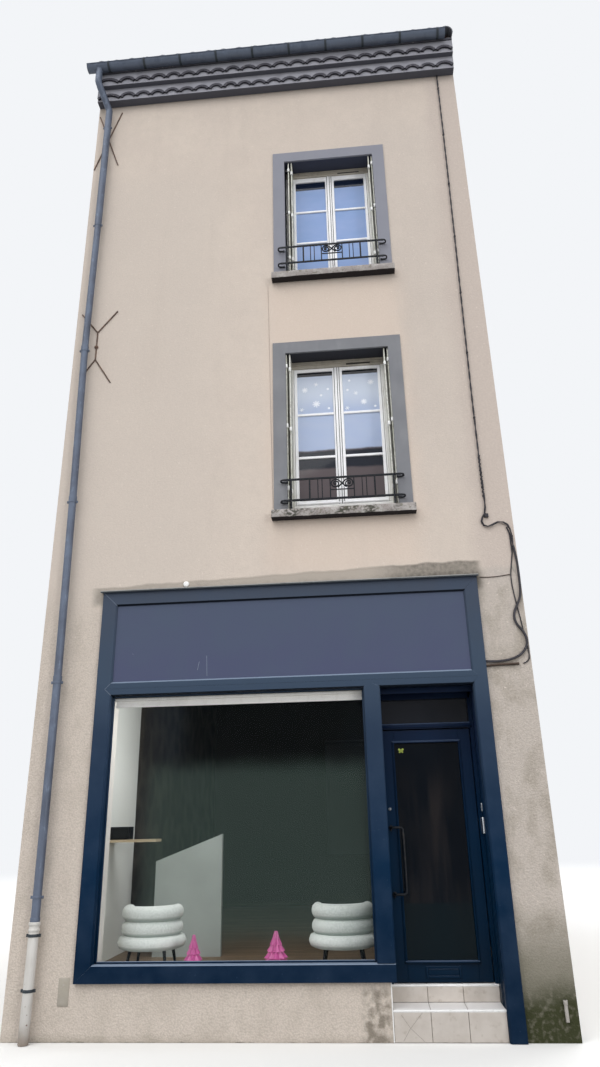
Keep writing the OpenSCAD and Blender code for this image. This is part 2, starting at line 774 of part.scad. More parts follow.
function cable_ring(i) = let(across = [cable_heading(i)[1], -cable_heading(i)[0]])
    [for (s = [0 : cable_sides - 1]) let(turn = 360 * s / cable_sides)
        [cable_route[i][0] + cable_r * cos(turn) * across[0],
         street(-cable_off) + cable_r * sin(turn),
         cable_route[i][1] + cable_r * cos(turn) * across[1]]];
module drop_cable() {
    points = [for (i = [0 : cable_last]) each cable_ring(i)];
    sides = [for (i = [0 : cable_last - 1], s = [0 : cable_sides - 1])
        let(next = (s + 1) % cable_sides, base = i * cable_sides)
        [base + s, base + next, base + cable_sides + next, base + cable_sides + s]];
    start_cap = [for (s = [cable_sides - 1 : -1 : 0]) s];
    end_cap = [for (s = [0 : cable_sides - 1]) cable_last * cable_sides + s];
    color(iron_black) polyhedron(points, concat(sides, [start_cap, end_cap]));
}

front_pier_left();
front_pier_right();
stall_riser();
front_wall_first_floor();
front_wall_second_floor();
party_wall_left();
party_wall_right();
rear_wall_ground_floor();
rear_wall_first_floor();
rear_wall_second_floor();
ground_floor();
first_floor();
second_floor();
shop_partition();
wall_shelf();
cornice_front();
cornice_rear();
roof_front();
roof_rear();
ridge_tiles();
front_gutter();
rear_gutter();
downpipe();
downpipe_boot();
rear_downpipe();
wall_anchors();
shopfront_frame();
sign_panel();
drip_cap();
shop_window_glass();
blind_box();
doorway_lining();
door_frame();
transom_glass();
door_hinges();
door_leaf();
door_glass();
door_handle();
letter_plate();
door_steps();
entry_panel();
window_surrounds();
window_sills();
first_floor_window();
second_floor_window();
rear_windows();
window_glass();
shutters();
first_guard_rail();
second_guard_rail();
drop_cable();
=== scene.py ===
import bpy
import bmesh
import math
import random
from mathutils import Matrix, Vector


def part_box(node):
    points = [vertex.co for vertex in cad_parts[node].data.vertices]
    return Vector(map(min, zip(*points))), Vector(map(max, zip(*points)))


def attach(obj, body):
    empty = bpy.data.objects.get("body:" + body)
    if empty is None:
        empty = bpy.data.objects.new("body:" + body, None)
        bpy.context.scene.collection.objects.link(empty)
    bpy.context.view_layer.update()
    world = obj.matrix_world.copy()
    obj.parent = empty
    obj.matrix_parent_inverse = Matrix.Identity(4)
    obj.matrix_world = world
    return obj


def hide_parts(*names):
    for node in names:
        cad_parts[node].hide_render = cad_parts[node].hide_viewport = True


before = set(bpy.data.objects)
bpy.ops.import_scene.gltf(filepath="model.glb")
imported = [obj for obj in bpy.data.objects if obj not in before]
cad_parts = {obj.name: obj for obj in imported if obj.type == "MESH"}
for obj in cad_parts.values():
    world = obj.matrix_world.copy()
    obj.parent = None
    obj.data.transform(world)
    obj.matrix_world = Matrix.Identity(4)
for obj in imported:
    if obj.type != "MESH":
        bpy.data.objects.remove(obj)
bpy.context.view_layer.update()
scene = bpy.context.scene
print("frame loaded:", len(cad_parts), "nodes")

# The street wall and the rear wall, and the middle of the window openings, in metres
street = -4.0
halfWidth = 2.475
windowX = 0.715


# Camera, from the vanishing lines of the facade
viewpoint = {
    "place": (0.855, -11.40, 1.698),
    "yaw": -4.739, "pitch": 21.412, "roll": -1.216,    # degrees
    "focalPixels": 747.3, "longSidePixels": 1067,
}


def makeCamera(s):
    yaw, pitch, roll = (math.radians(s[k]) for k in ("yaw", "pitch", "roll"))
    level = Vector((math.sin(yaw), math.cos(yaw), 0))
    right = Vector((math.cos(yaw), -math.sin(yaw), 0))
    up = Vector((0, 0, 1))
    look = math.cos(pitch) * level + math.sin(pitch) * up
    over = math.cos(pitch) * up - math.sin(pitch) * level
    lens = bpy.data.cameras.new("streetCamera")
    lens.sensor_width = 36
    lens.lens = s["focalPixels"] / s["longSidePixels"] * lens.sensor_width
    lens.clip_end = 300
    camera = bpy.data.objects.new("streetCamera", lens)
    turned = Matrix((math.cos(roll) * right + math.sin(roll) * over,
                     math.cos(roll) * over - math.sin(roll) * right, -look))
    camera.matrix_world = Matrix.Translation(s["place"]) @ turned.transposed().to_4x4()
    scene.collection.objects.link(camera)
    scene.camera = camera


makeCamera(viewpoint)
scene.view_settings.view_transform = "Standard"


# Material helpers; making holds the material in hand, its node tree, its shader and its coordinates
making = {}


def linear(hexColour):
    parts = [int(hexColour[i:i + 2], 16) / 255 for i in (1, 3, 5)]
    return tuple(v / 12.92 if v <= 0.04045 else ((v + 0.055) / 1.055) ** 2.4 for v in parts) + (1.0,)


def setInput(socket, value):
    socket.default_value = linear(value) if isinstance(value, str) else value


def mainOutput(source):
    if not isinstance(source, bpy.types.Node):
        return source
    return source.outputs[{"ShaderNodeMix": 2, "ShaderNodeTexCoord": "Object"}.get(source.bl_idname, 0)]


def link(source, socket):
    making["tree"].links.new(mainOutput(source), socket)


# Adds a node; keys are its settings, or its inputs by name or number
def addNode(kind, settings=None, links=None):
    node = making["tree"].nodes.new("ShaderNode" + kind)
    settings = settings or {}
    own = [key for key in settings if isinstance(key, str) and key[0].islower()]
    for key in own:
        setattr(node, key, settings[key])
    for key in [key for key in settings if key not in own]:
        setInput(node.inputs[key], settings[key])
    for key, source in (links or {}).items():
        link(source, node.inputs[key])
    return node


def startMaterial(name, **surface):
    material = bpy.data.materials.new(name)
    material.use_nodes = True
    shader = material.node_tree.nodes["Principled BSDF"]
    for key, value in surface.items():
        setInput(shader.inputs[key.replace("_", " ")], value)
    making.update(material=material, tree=material.node_tree, shader=shader)
    making["coord"] = addNode("TexCoord")
    return making["coord"]


# height is a node, or the size in mm and the detail of a noise; roughness is a mask with its low and high value
def finishMaterial(colour, height=None, bump=0.001, strength=0.5, roughness=None):
    sockets = making["shader"].inputs
    link(colour, sockets["Base Color"])
    if isinstance(height, tuple):
        height = addNode("TexNoise", {"Scale": 1000 / height[0], "Detail": height[1]}, {"Vector": making["coord"]})
    if height is not None:
        link(addNode("Bump", {"Distance": bump, "Strength": strength}, {"Height": height}), sockets["Normal"])
    if roughness is not None:
        mask, low, high = roughness
        link(addNode("MapRange", {"To Min": low, "To Max": high}, {"Value": mask}), sockets["Roughness"])
    return making["material"]


# A cloudy mask from 0 to 1; size is that of a patch in mm, and stretch makes patches long on an axis
def patches(size, low, high, detail=3, stretch=(1, 1, 1), shift=0.0):
    place = addNode("Mapping", {"Location": (shift, 2.1 * shift, 3.7 * shift), "Scale": stretch},
                    {"Vector": making["coord"]})
    cloud = addNode("TexNoise", {"Scale": 1000 / size, "Detail": detail}, {"Vector": place})
    return addNode("MapRange", {"From Min": low, "From Max": high}, {"Value": cloud})


def times(*masks):
    product = masks[0]
    for mask in masks[1:]:
        settings, links = {"operation": "MULTIPLY"}, {0: product}
        (settings if isinstance(mask, float) else links)[1] = mask
        product = addNode("Math", settings, links)
    return product


# 1 inside a span on one or more axes, softened over the given distance
def inside(axes, soft=0.02, **spans):
    steps = []
    for axis, span in spans.items():
        for edge, way in zip(span, (-soft, soft)):
            if edge is not None:
                steps.append(addNode("MapRange", {"interpolation_type": "SMOOTHSTEP", "From Min": edge + way,
                                                  "From Max": edge - way}, {"Value": axes.outputs[axis.upper()]}))
    return times(*steps)


# Lays colours over a base: each coat is a colour and the masks that it lies on, or a share
def layers(colour, *coats):
    for coat, *masks in coats:
        settings, links = {"data_type": "RGBA", 7: coat}, {0: times(*masks)}
        (settings if isinstance(colour, str) else links)[6] = colour
        colour = addNode("Mix", settings, links)
    return colour


# Coordinates bent by noise, so that the edges of stains wander; reach in metres
def wander(size, reach):
    coord = making["coord"]
    cloud = addNode("TexNoise", {"Scale": 1000 / size, "Detail": 4}, {"Vector": coord})
    bent = addNode("VectorMath", {"operation": "MULTIPLY_ADD", 1: (reach,) * 3},
                   {0: cloud.outputs["Color"], 2: coord})
    return addNode("SeparateXYZ", {}, {0: bent})


# 1 on faces that look up, or down with sign -1: painted highlight on faces that look up, painted shade on faces that
# look down
def facing(sign, low=0.35, high=0.6):
    way = addNode("SeparateXYZ", {}, {0: addNode("NewGeometry").outputs["Normal"]})
    return addNode("MapRange", {"From Min": sign * low, "From Max": sign * high}, {"Value": way.outputs["Z"]})


# The damp patch over the shopfront: 1 under its tide line, and 1 on the line itself
def tideLine():
    near = wander(330, 0.060)
    rise = addNode("MapRange", {"From Min": -1.85, "From Max": 1.69, "To Min": 4.140, "To Max": 4.252},
                   {"Value": near.outputs["X"]})
    under = addNode("Math", {"operation": "SUBTRACT"}, {0: rise, 1: near.outputs["Z"]})
    wet = addNode("MapRange", {"From Min": 0.0, "From Max": 0.022}, {"Value": under})
    line = times(wet, addNode("MapRange", {"From Min": 0.034, "From Max": 0.006}, {"Value": under}))
    above = inside(near, 0.05, x=(-1.93, 2.11), z=(3.95, None), y=(None, -3.8))
    return times(wet, above), times(line, above), near


# Lime render, sprayed on: floated smooth upstairs, left pebbly on the ground floor, where rain has
# run down it and moss grows at its foot. Pebbles are 8 mm in life, and drawn coarser
def wallRender(name):
    coord = startMaterial(name, Roughness=0.95, Specular_IOR_Level=0.15)
    axes = addNode("SeparateXYZ", {}, {0: coord})
    bent, fine = wander(420, 0.25), wander(90, 0.05)
    rough = inside(bent, 0.30, z=(None, 4.05))
    pierRight = inside(fine, 0.05, x=(2.03, None), z=(None, 4.15))
    stains = patches(170, 0.47, 0.66, 5, (1, 1, 0.6), 2.0)
    pebbles = addNode("TexVoronoi", {"Scale": 1000 / 15}, {"Vector": coord})
    hollow = addNode("MapRange", {"From Min": 0.3, "From Max": 0.8}, {"Value": pebbles})
    wet, line, near = tideLine()
    wetFoot = inside(near, 0.045, z=(None, 4.115))
    wetDark = times(wet, inside(near, 0.25, x=(1.20, 2.3)), patches(40, 0.0, 0.85, 5))
    room = addNode("Math", {"operation": "MAXIMUM"},
                   {0: inside(axes, 0.004, x=(-2.45, 2.45), y=(-3.52, 3.52)),
                    1: inside(axes, 0.004, x=(-2.45, 2.45), y=(-3.97, 3.52), z=(None, 3.2))})
    colour = layers(
        "#CDC0B4", ("#D3C6B9", patches(620, 0.35, 0.68, 5)), ("#C6BAAE", patches(90, 0.38, 0.66, 4, shift=9.0), 0.35),
        # Large lighter and darker fields upstairs, then the rough ground floor and its right pier
        ("#BFB5AC", inside(bent, 0.5, x=(1.15, None), z=(5.2, 10.6)), 0.45),
        ("#C8BDB2", inside(bent, 0.5, x=(None, -0.6), z=(3.9, 9.9)), 0.7),
        ("#D5C4B5", inside(bent, 0.16, x=(0.02, 1.64), z=(4.3, 8.0)), 0.8),
        ("#C2B5AB", inside(bent, 0.10, x=(2.20, None), z=(4.2, None)), 0.9), ("#CCC1B5", rough, 0.75),
        ("#B4ACA4", pierRight, 0.75), ("#BBAFA4", patches(300, 0.56, 0.82, 4, (1, 1, 0.14), 3.0), 0.35),
        ("#9C9286", rough, hollow, 0.36), ("#ADA396", rough, stains, 0.36), ("#8D8579", pierRight, stains, 0.5),
        ("#E0D5CA", patches(34, 0.69, 0.73, 2, shift=5.0), 0.5), ("#E2D6C9", patches(22, 0.3, 0.7, 2), 0.22),
        ("#C2B7AC", inside(bent, 0.10, z=(11.2, None)), 0.4), ("#AAA196", wet, 0.85), ("#958C80", line, 0.5),
        ("#7E786F", wet, wetFoot, patches(60, 0.3, 0.66, 5), 0.6, 0.8), ("#66625A", wetDark, 0.9),
        ("#3F3D36", wetDark, wetFoot, 0.8),
        # At the foot: splashes, then grey damp and moss on the right, a line of moss, and dirt beside the steps
        ("#8A8272", inside(bent, 0.07, z=(None, 0.13), y=(None, -3.6)), 0.6),
        ("#716E5F", inside(bent, 0.30, x=(1.9, None), z=(None, 0.95), y=(None, -3.5)), 0.8),
        ("#33371F", inside(bent, 0.16, x=(1.9, None), z=(None, 0.52), y=(None, -3.6)),
         patches(45, 0.10, 0.50, 5), 0.95),
        ("#3E4230", inside(fine, 0.012, z=(None, 0.022), x=(None, 2.0), y=(None, -3.9)),
         patches(80, 0.35, 0.55, 4), 0.9),
        ("#6F675A", inside(fine, 0.05, x=(0.72, 0.96), z=(None, 0.42), y=(None, -3.9)),
         patches(60, 0.35, 0.62, 4), 0.75),
        # Inside: white paint, and on the back wall of the shop dark grey as painted shade
        ("#E2DFD8", room), ("#2C2B29", room, inside(axes, 0.01, z=(None, 4.3), y=(3.0, None))))
    floated = addNode("TexNoise", {"Scale": 1000 / 14, "Detail": 5}, {"Vector": coord})
    grit = addNode("Mix", {}, {0: rough, 2: floated, 3: pebbles})
    return finishMaterial(colour, grit.outputs[0], 0.005, 0.55)


# Cement render on the party walls, left as the mason floated it. On the room side white paint; in the shop dark grey
# on the right side and further back as painted shade, with stone joints drawn at the back
def cementRender():
    coord = startMaterial("cementRender", Roughness=0.95, Specular_IOR_Level=0.2)
    axes = addNode("SeparateXYZ", {}, {0: coord})
    bent = wander(300, 0.3)
    room = inside(axes, 0.004, x=(-2.13, 2.13))
    shop = times(room, inside(axes, 0.01, z=(None, 4.3)))
    back = times(shop, inside(axes, 0.01, y=(-1.53, None)))
    stones = addNode("TexVoronoi", {"Scale": 1000 / 260}, {"Vector": bent.inputs[0].links[0].from_socket})
    joint = addNode("MapRange", {"From Min": 0.35, "From Max": 0.75}, {"Value": stones})
    colour = layers("#B3A99D", ("#C3B8AB", patches(900, 0.4, 0.62, 5, (1, 1, 2.2))),
                    ("#9C9388", patches(320, 0.5, 0.72, 4, (1, 1, 0.1), 4.0), 0.5),
                    ("#A79D91", patches(35, 0.3, 0.7, 3), 0.3), ("#857D70", inside(bent, 0.15, z=(None, 0.45)), 0.7),
                    # In the shop: the dark greys are painted shade
                    ("#EDF1EB", room), ("#3A3833", shop, inside(axes, 0.01, x=(0, None))), ("#3A3632", back),
                    ("#4E4942", back, joint))
    return finishMaterial(colour, (45, 6), 0.006, 0.5)


# Gypsum plaster under matt white emulsion, drawn mid grey as painted shade of the dim shop: faint roller texture and
# cloudy patches
def whitePlaster():
    startMaterial("whitePlaster", Roughness=0.8)
    colour = layers("#B4BBB7", ("#A8AFAA", patches(500, 0.4, 0.7)))
    return finishMaterial(colour, (9, 2), 0.0006, 0.4)


# Masonry paint on mortar and on the tile ends of the cornice: chalky grey with darker patches and streaks, and
# painted shade on faces that look down
def cornicePaint(name, light, dark, under=None):
    startMaterial(name, Roughness=0.9, Specular_IOR_Level=0.25)
    # under is the colour of the painted shade on faces that look down
    colour = layers(light, (dark, patches(160, 0.35, 0.75, 5), 0.7), ("#B5AFAE", patches(40, 0.62, 0.72, 3), 0.35),
                    ("#67656B", patches(300, 0.55, 0.8, 4, (1, 1, 0.3), 6.0), 0.5), (under or dark, facing(-1)))
    return finishMaterial(colour, (18, 5), 0.004, 0.6)


# Burnt clay of old canal tiles: every tile its own brown, with lichen and soot patches, and blue-grey along the eaves
def clayTile():
    coord = startMaterial("clayTile", Roughness=0.9, Specular_IOR_Level=0.2)
    each = addNode("Mapping", {"Scale": (4.5, 2.6, 0.4)}, {"Vector": coord})
    tones = addNode("TexVoronoi", {"Scale": 1.0, "Randomness": 0.6}, {"Vector": each})
    tone = addNode("SeparateColor", {}, {0: tones.outputs["Color"]})
    axes = addNode("SeparateXYZ", {}, {0: coord})
    eave = addNode("MapRange", {"From Min": 4.12, "From Max": 4.20},
                   {"Value": addNode("Math", {"operation": "ABSOLUTE"}, {0: axes.outputs["Y"]})})
    colour = layers("#8F6551", ("#A88568", tone.outputs[0]),
                    ("#6E5245", patches(260, 0.42, 0.72, 4, shift=2.0), 0.65),
                    ("#A7A193", patches(70, 0.54, 0.66, 5), 0.6),
                    ("#5F6142", patches(110, 0.62, 0.7, 4, shift=7.0), 0.6),
                    ("#6F757E", eave, 0.9))
    return finishMaterial(colour, (12, 5), 0.002, 0.6)


# Rolled zinc sheet, weathered to a dull blue-grey patina: cloudy, with pale salts and dark runs
def zincSheet(name, base, pale, dark, rough=0.5, metal=0.55):
    startMaterial(name, Metallic=metal)
    cloudy = patches(220, 0.35, 0.7, 5)
    colour = layers(base, (pale, cloudy, 0.5), (dark, patches(120, 0.52, 0.75, 3, (1, 1, 0.15), 2.0), 0.6),
                    (pale, patches(45, 0.58, 0.7, 4, (1, 1, 0.5), 4.0), 0.5))
    return finishMaterial(colour, (60, 3), 0.0015, 0.35, (cloudy, rough - 0.08, rough + 0.14))


# Cast iron under old gloss paint: off-white, chipped to rust and grimy at the foot
def bootPaint():
    startMaterial("bootPaint", Roughness=0.5)
    bent = wander(80, 0.08)
    colour = layers("#CDCAC4", ("#B9B4AB", patches(90, 0.45, 0.7, 4, (1, 1, 0.4)), 0.7),
                    ("#7A6553", inside(bent, 0.10, z=(None, 0.13)), 0.75),
                    ("#6B4A38", patches(26, 0.68, 0.72, 4), inside(bent, 0.2, z=(None, 0.5))))
    return finishMaterial(colour, (25, 4), 0.002, 0.4)


# Wrought iron left bare: brown-black rust with a few brighter blooms
def rustyIron():
    startMaterial("rustyIron", Metallic=0.3, Roughness=0.8)
    colour = layers("#5A4B44", ("#7A6355", patches(40, 0.4, 0.65, 4)), ("#8A5A3C", patches(18, 0.6, 0.7, 4), 0.6))
    return finishMaterial(colour, (10, 5), 0.001, 0.6)


# Satin alkyd paint on planed wood: brushed lengthwise and chalky in patches, with a painted reflection that is dark
# at the foot and lighter towards the top, a painted highlight on its ledges and painted shade on faces that look
# down. tones are (level, colour) from the foot up
def woodPaint(name, tones, faded, rough=0.42, ledgeHighlight="#8492A4"):
    coord = startMaterial(name, Specular_IOR_Level=0.08)
    axes = addNode("SeparateXYZ", {}, {0: coord})
    cloudy = patches(240, 0.35, 0.7, 4)
    # Colour steps by height: a painted reflection, dark low down and lighter higher up
    steps = [(tone, addNode("MapRange", {"From Min": below, "From Max": level}, {"Value": axes.outputs["Z"]}))
             for (below, _), (level, tone) in zip(tones, tones[1:])]
    # Then chalky patches, the painted highlight on faces that look up and the painted shade on faces that look down
    colour = layers(tones[0][1], *steps, (faded, cloudy, 0.22),
                    (faded, patches(26, 0.66, 0.74, 3, shift=3.0), 0.3), (ledgeHighlight, facing(1), 0.75),
                    ("#060B14", facing(-1), 0.85))
    brush = addNode("Mapping", {"Scale": (1, 1, 0.1)}, {"Vector": coord})
    height = addNode("TexNoise", {"Scale": 1000 / 10, "Detail": 3}, {"Vector": brush})
    return finishMaterial(colour, height, 0.0006, 0.35, (cloudy, rough - 0.05, rough + 0.12))


# Black satin enamel on steel, worn brown-grey on its edges and joints
def blackEnamel(name, base, worn, rough):
    startMaterial(name, Specular_IOR_Level=0.15)
    wear = patches(35, 0.55, 0.72, 4)
    colour = layers(base, (worn, wear, 0.6))
    return finishMaterial(colour, (6, 3), 0.0005, 0.4, (wear, rough, rough + 0.25))


# Float glass of the shop window: clear and faintly green, with painted reflections in upright swathes and in a band
# at eye height, where the glass is also less clear
def shopGlass():
    startMaterial("shopGlass", Roughness=0.03, IOR=1.52)
    reflectedSwathes = patches(520, 0.45, 0.8, 2, (1, 1, 0.12), 1.3)
    bent = wander(300, 0.1)
    reflectedBand = inside(bent, 0.12, z=(0.80, 2.32), x=(-1.25, None))
    most = addNode("Math", {"operation": "MAXIMUM"}, {0: times(reflectedSwathes, 0.7), 1: reflectedBand})
    # Where the painted reflections lie the glass lets less through
    reflectionCover = addNode("MapRange", {"To Min": 0.05, "To Max": 0.115}, {"Value": most})
    link(reflectionCover, making["shader"].inputs["Alpha"])
    colour = layers("#1A2426", ("#4A5A68", reflectedSwathes), ("#5D7269", reflectedBand))
    return finishMaterial(colour)


# Double glazing upstairs, drawn with painted reflections: sky blue, paler in the top first floor panes, a dark seam
# under each head, and dark brown-grey low down on the first floor panes; the rear panes are plain grey-blue
def paintedSkyGlass():
    coord = startMaterial("paintedSkyGlass", Roughness=0.04, IOR=1.52, Alpha=0.93, Specular_IOR_Level=0.25)
    axes = addNode("SeparateXYZ", {}, {0: coord})
    bent = wander(260, 0.05)
    cloudy = patches(480, 0.38, 0.72, 3, (1, 1, 2))
    first = inside(axes, 0.02, z=(4.0, 7.0))
    # Every colour here but the grey-blue of the rear panes is painted reflection
    colour = layers("#83A0D0", ("#92A8D6", cloudy, 0.8), ("#AEBCD8", first, 0.9), ("#B9C4D6", first, cloudy, 0.5),
                    ("#D2DBE8", inside(axes, 0.15, z=(6.33, 6.72)), 0.8),
                    ("#5E5557", inside(bent, 0.015, z=(4.0, 5.735))), ("#20242E", inside(bent, 0.02, z=(5.50, 5.72))),
                    ("#0C0F16", inside(axes, 0.004, z=(6.702, 7.202))),
                    ("#182236", inside(axes, 0.004, z=(9.618, 10.118))), ("#6E7B86", inside(axes, 0.1, y=(0, None))))
    return finishMaterial(colour)


# Clear glass in front of an unlit hall, drawn nearly black and almost opaque as painted shade of the hall, lighter
# above the door, with brown-grey upright patches
def doorGlass():
    coord = startMaterial("doorGlass", Roughness=0.05, IOR=1.52, Alpha=0.94, Specular_IOR_Level=0.08)
    axes = addNode("SeparateXYZ", {}, {0: coord})
    bent = wander(300, 0.12)
    middle = times(inside(bent, 0.25, z=(0.95, 2.15)), patches(190, 0.42, 0.66, 3, (1.4, 1, 0.16), 4.4))
    colour = layers("#010812", ("#25272D", inside(axes, 0.02, z=(2.6, None))),
                    ("#0C1218", patches(260, 0.45, 0.75), 0.6),
                    ("#221F20", middle), ("#02141A", inside(axes, 0.01, z=(None, 1.02)), 0.8))
    return finishMaterial(colour)


# Powder-coated metal, off-white and slightly chalky
def coatedMetal(name, base, grime, rough=0.45):
    startMaterial(name, Roughness=rough)
    colour = layers(base, (grime, patches(60, 0.5, 0.75, 4, (1, 1, 0.4)), 0.6),
                    (grime, patches(14, 0.62, 0.7, 3), 0.7))
    return finishMaterial(colour, (5, 2), 0.0003, 0.4)


# Old folding shutters: pale green paint gone chalky, rust and dirt in their folds
def shutterPaint():
    startMaterial("shutterPaint", Roughness=0.6)
    colour = layers("#DBDBD2", ("#C3C4B4", patches(120, 0.4, 0.7, 4, (1, 1, 0.3))),
                    ("#8B8878", patches(30, 0.5, 0.62, 5, (1, 1, 0.6)), 0.45),
                    ("#8A6A50", patches(14, 0.64, 0.7), 0.6))
    return finishMaterial(colour, (12, 3), 0.0008, 0.4)


# Mineral paint on the cement bands round the windows: blue-grey faces, and the reveals drawn nearly black as painted
# shade
def surroundPaint():
    coord = startMaterial("surroundPaint", Roughness=0.82, Specular_IOR_Level=0.3)
    axes = addNode("SeparateXYZ", {}, {0: coord})
    reveal = inside(axes, 0.004, y=(-3.99, 3.99))
    upper = inside(axes, 0.2, z=(7.5, None))
    colour = layers("#7D7E82", ("#87888B", patches(300, 0.35, 0.7, 4)),
                    ("#75767C", patches(120, 0.5, 0.72, 4, (1, 1, 0.25), 4.0), 0.45), ("#92939F", upper, 0.6),
                    # Painted shade in the reveals, a little bluer upstairs
                    ("#303138", reveal), ("#3E4252", reveal, upper))
    return finishMaterial(colour, (10, 4), 0.0012, 0.4)


# Volcanic stone sills under pale limewash: pitted, spotted with lichen and black moss, and painted shade on their
# undersides
def sillStone():
    coord = startMaterial("sillStone", Roughness=0.93, Specular_IOR_Level=0.2)
    axes = addNode("SeparateXYZ", {}, {0: coord})
    blots = times(patches(150, 0.46, 0.58, 3, (0.8, 1, 1), 3.3), patches(22, 0.40, 0.55, 5, (0.7, 1, 1)))
    colour = layers("#9F9894", ("#B4AFAB", patches(110, 0.42, 0.6, 4)),
                    ("#847C74", patches(18, 0.55, 0.66, 3), 0.65),
                    ("#3F4036", blots, inside(axes, 0.2, z=(None, 6.0)), 0.9),
                    ("#6B6858", patches(40, 0.60, 0.70, 4, shift=8.0), 0.7),
                    ("#2E2A2B", facing(-1)))
    return finishMaterial(colour, (14, 5), 0.004, 0.7)


# Glazed stoneware tile: warm beige with a soft mottle and dirt from shoes, and a painted highlight on the treads
def stepTile():
    startMaterial("stepTile", IOR=1.5)
    wear = patches(130, 0.4, 0.7, 5)
    colour = layers("#C4BCB3", ("#B7AEA4", wear), ("#A2978A", patches(50, 0.58, 0.7, 4), 0.5),
                    ("#EDEAE7", facing(1), 0.95))
    return finishMaterial(colour, (20, 3), 0.0006, 0.3, (wear, 0.35, 0.6))


# Oak strip floor, oiled: strips 70 mm wide with the grain along them; plaster on the underside, dark grey under the
# shop as painted shade
def oakFloor():
    coord = startMaterial("oakFloor", Roughness=0.55)
    strips = addNode("TexBrick",
                     {"offset": 0.37, "Scale": 1.0, "Mortar Size": 0.002, "Brick Width": 0.9, "Row Height": 0.07,
                                  "Color1": "#7C6A55", "Color2": "#938068", "Mortar": "#3E342A"}, {"Vector": coord})
    grain = patches(30, 0.4, 0.7, 4, (0.12, 1, 1))
    axes = addNode("SeparateXYZ", {}, {0: coord})
    way = addNode("SeparateXYZ", {}, {0: addNode("NewGeometry").outputs["Normal"]})
    ceiling = addNode("Math", {"operation": "LESS_THAN", 1: -0.5}, {0: way.outputs["Z"]})
    shadedShopCeiling = times(ceiling, inside(axes, 0.01, z=(None, 4.6)))
    colour = layers(strips, ("#6B5A47", grain, 0.5), ("#DEDBD3", ceiling), ("#4A4A48", shadedShopCeiling))
    return finishMaterial(colour, grain, 0.0005, 0.3)


# Brushed stainless steel plate
def brushedSteel():
    startMaterial("brushedSteel", Metallic=1.0, Base_Color="#C9CCD0")
    lines = patches(6, 0.3, 0.7, 2, (1, 0.1, 1))
    colour = layers("#B7BBC0", ("#D3D6D9", lines))
    return finishMaterial(colour, lines, 0.0002, 0.3, (lines, 0.25, 0.42))


# Polyethylene cable sheath, dulled by the weather
def cableSheath():
    startMaterial("cableSheath", Roughness=0.6)
    colour = layers("#221F26", ("#3A373E", patches(60, 0.45, 0.7, 4), 0.6))
    return finishMaterial(colour)


# Looped wool cloth of the chairs, off-white: loops are 5 mm in life, and drawn coarser; painted shade on faces that
# look down
def chairWool():
    coord = startMaterial("chairWool", Roughness=0.95, Sheen_Weight=0.3)
    loops = addNode("TexVoronoi", {"Scale": 1000 / 14}, {"Vector": coord})
    between = addNode("MapRange", {"From Min": 0.25, "From Max": 0.7}, {"Value": loops})
    colour = layers("#F1F6F0", ("#D2DAD3", between, 0.6), ("#AEB8B1", facing(-1)))
    return finishMaterial(colour, loops, 0.004, 0.5)


# Pale pine board, oiled, as the shelf in the shop
def shelfWood():
    startMaterial("shelfWood", Roughness=0.5)
    grain = patches(16, 0.35, 0.7, 4, (1, 0.1, 1))
    colour = layers("#C9B79A", ("#B39F80", grain))
    return finishMaterial(colour, grain, 0.0004, 0.3)


finishes = {
    "wall_render": wallRender("limeRender"), "lower_render": wallRender("pebbleRender"),
    "party_render": cementRender(),
    "floor_boards": oakFloor(), "white_plaster": whitePlaster(),
    "cornice_paint": cornicePaint("corniceMortar", "#A3A3AA", "#8A8A92", "#5A5B64"), "clay_tile": clayTile(),
    "dark_zinc": zincSheet("gutterZinc", "#565F6E", "#667082", "#444C5D", 0.55, 0.3),
    "grey_zinc": zincSheet("pipeZinc", "#545C6C", "#7B879A", "#454B57", 0.55, 0.3),
    "cap_zinc": zincSheet("capZinc", "#8F8F8D", "#B4B3AF", "#4E4E4C", 0.6, 0.2),
    "boot_iron": bootPaint(), "rusty_iron": rustyIron(),
    "shop_paint": woodPaint("shopPaint", ((0.5, "#001A31"), (1.4, "#05243E"), (2.6, "#2B3A4E"),
                                          (3.1, "#3E4C5D"), (4.0, "#444C5A")), "#3C4C62"),
    "sign_paint": woodPaint("signPaint", ((3.1, "#4F546D"), (3.9, "#4F576B")), "#4E5D6A", 0.36),
    "door_paint": woodPaint("doorPaint", ((0.4, "#00182B"), (1.5, "#00213A"), (2.6, "#111F38")), "#0E2942", 0.34,
                            "#53627A"),
    "window_glass": paintedSkyGlass(), "white_metal": coatedMetal("whiteMetal", "#E9E6E0", "#CFCAC0"),
    "hinge_steel": blackEnamel("hingeSteel", "#3A3F45", "#6B6259", 0.4),
    "black_metal": blackEnamel("blackEnamel", "#1B1E23", "#45413E", 0.4),
    "step_tile": stepTile(), "panel_steel": brushedSteel(), "surround_paint": surroundPaint(),
    "sill_stone": sillStone(), "window_paint": coatedMetal("windowPaint", "#F7F7F8", "#E6E5E2", 0.4),
    "shutter_paint": shutterPaint(), "cable_sheath": cableSheath(),
}
shopPane, doorPane, shelfBoard = shopGlass(), doorGlass(), shelfWood()
boucle, chairLeg = chairWool(), blackEnamel("chairLeg", "#101214", "#26272A", 0.35)
pinkGlaze = coatedMetal("pinkGlaze", "#CF5E9E", "#A8407C", 0.3)
# A dark blind cloth, a sheet of painted shade at the back of the shop
shadeBlind = coatedMetal("shadeBlind", "#2A2C2E", "#1E2022", 0.9)
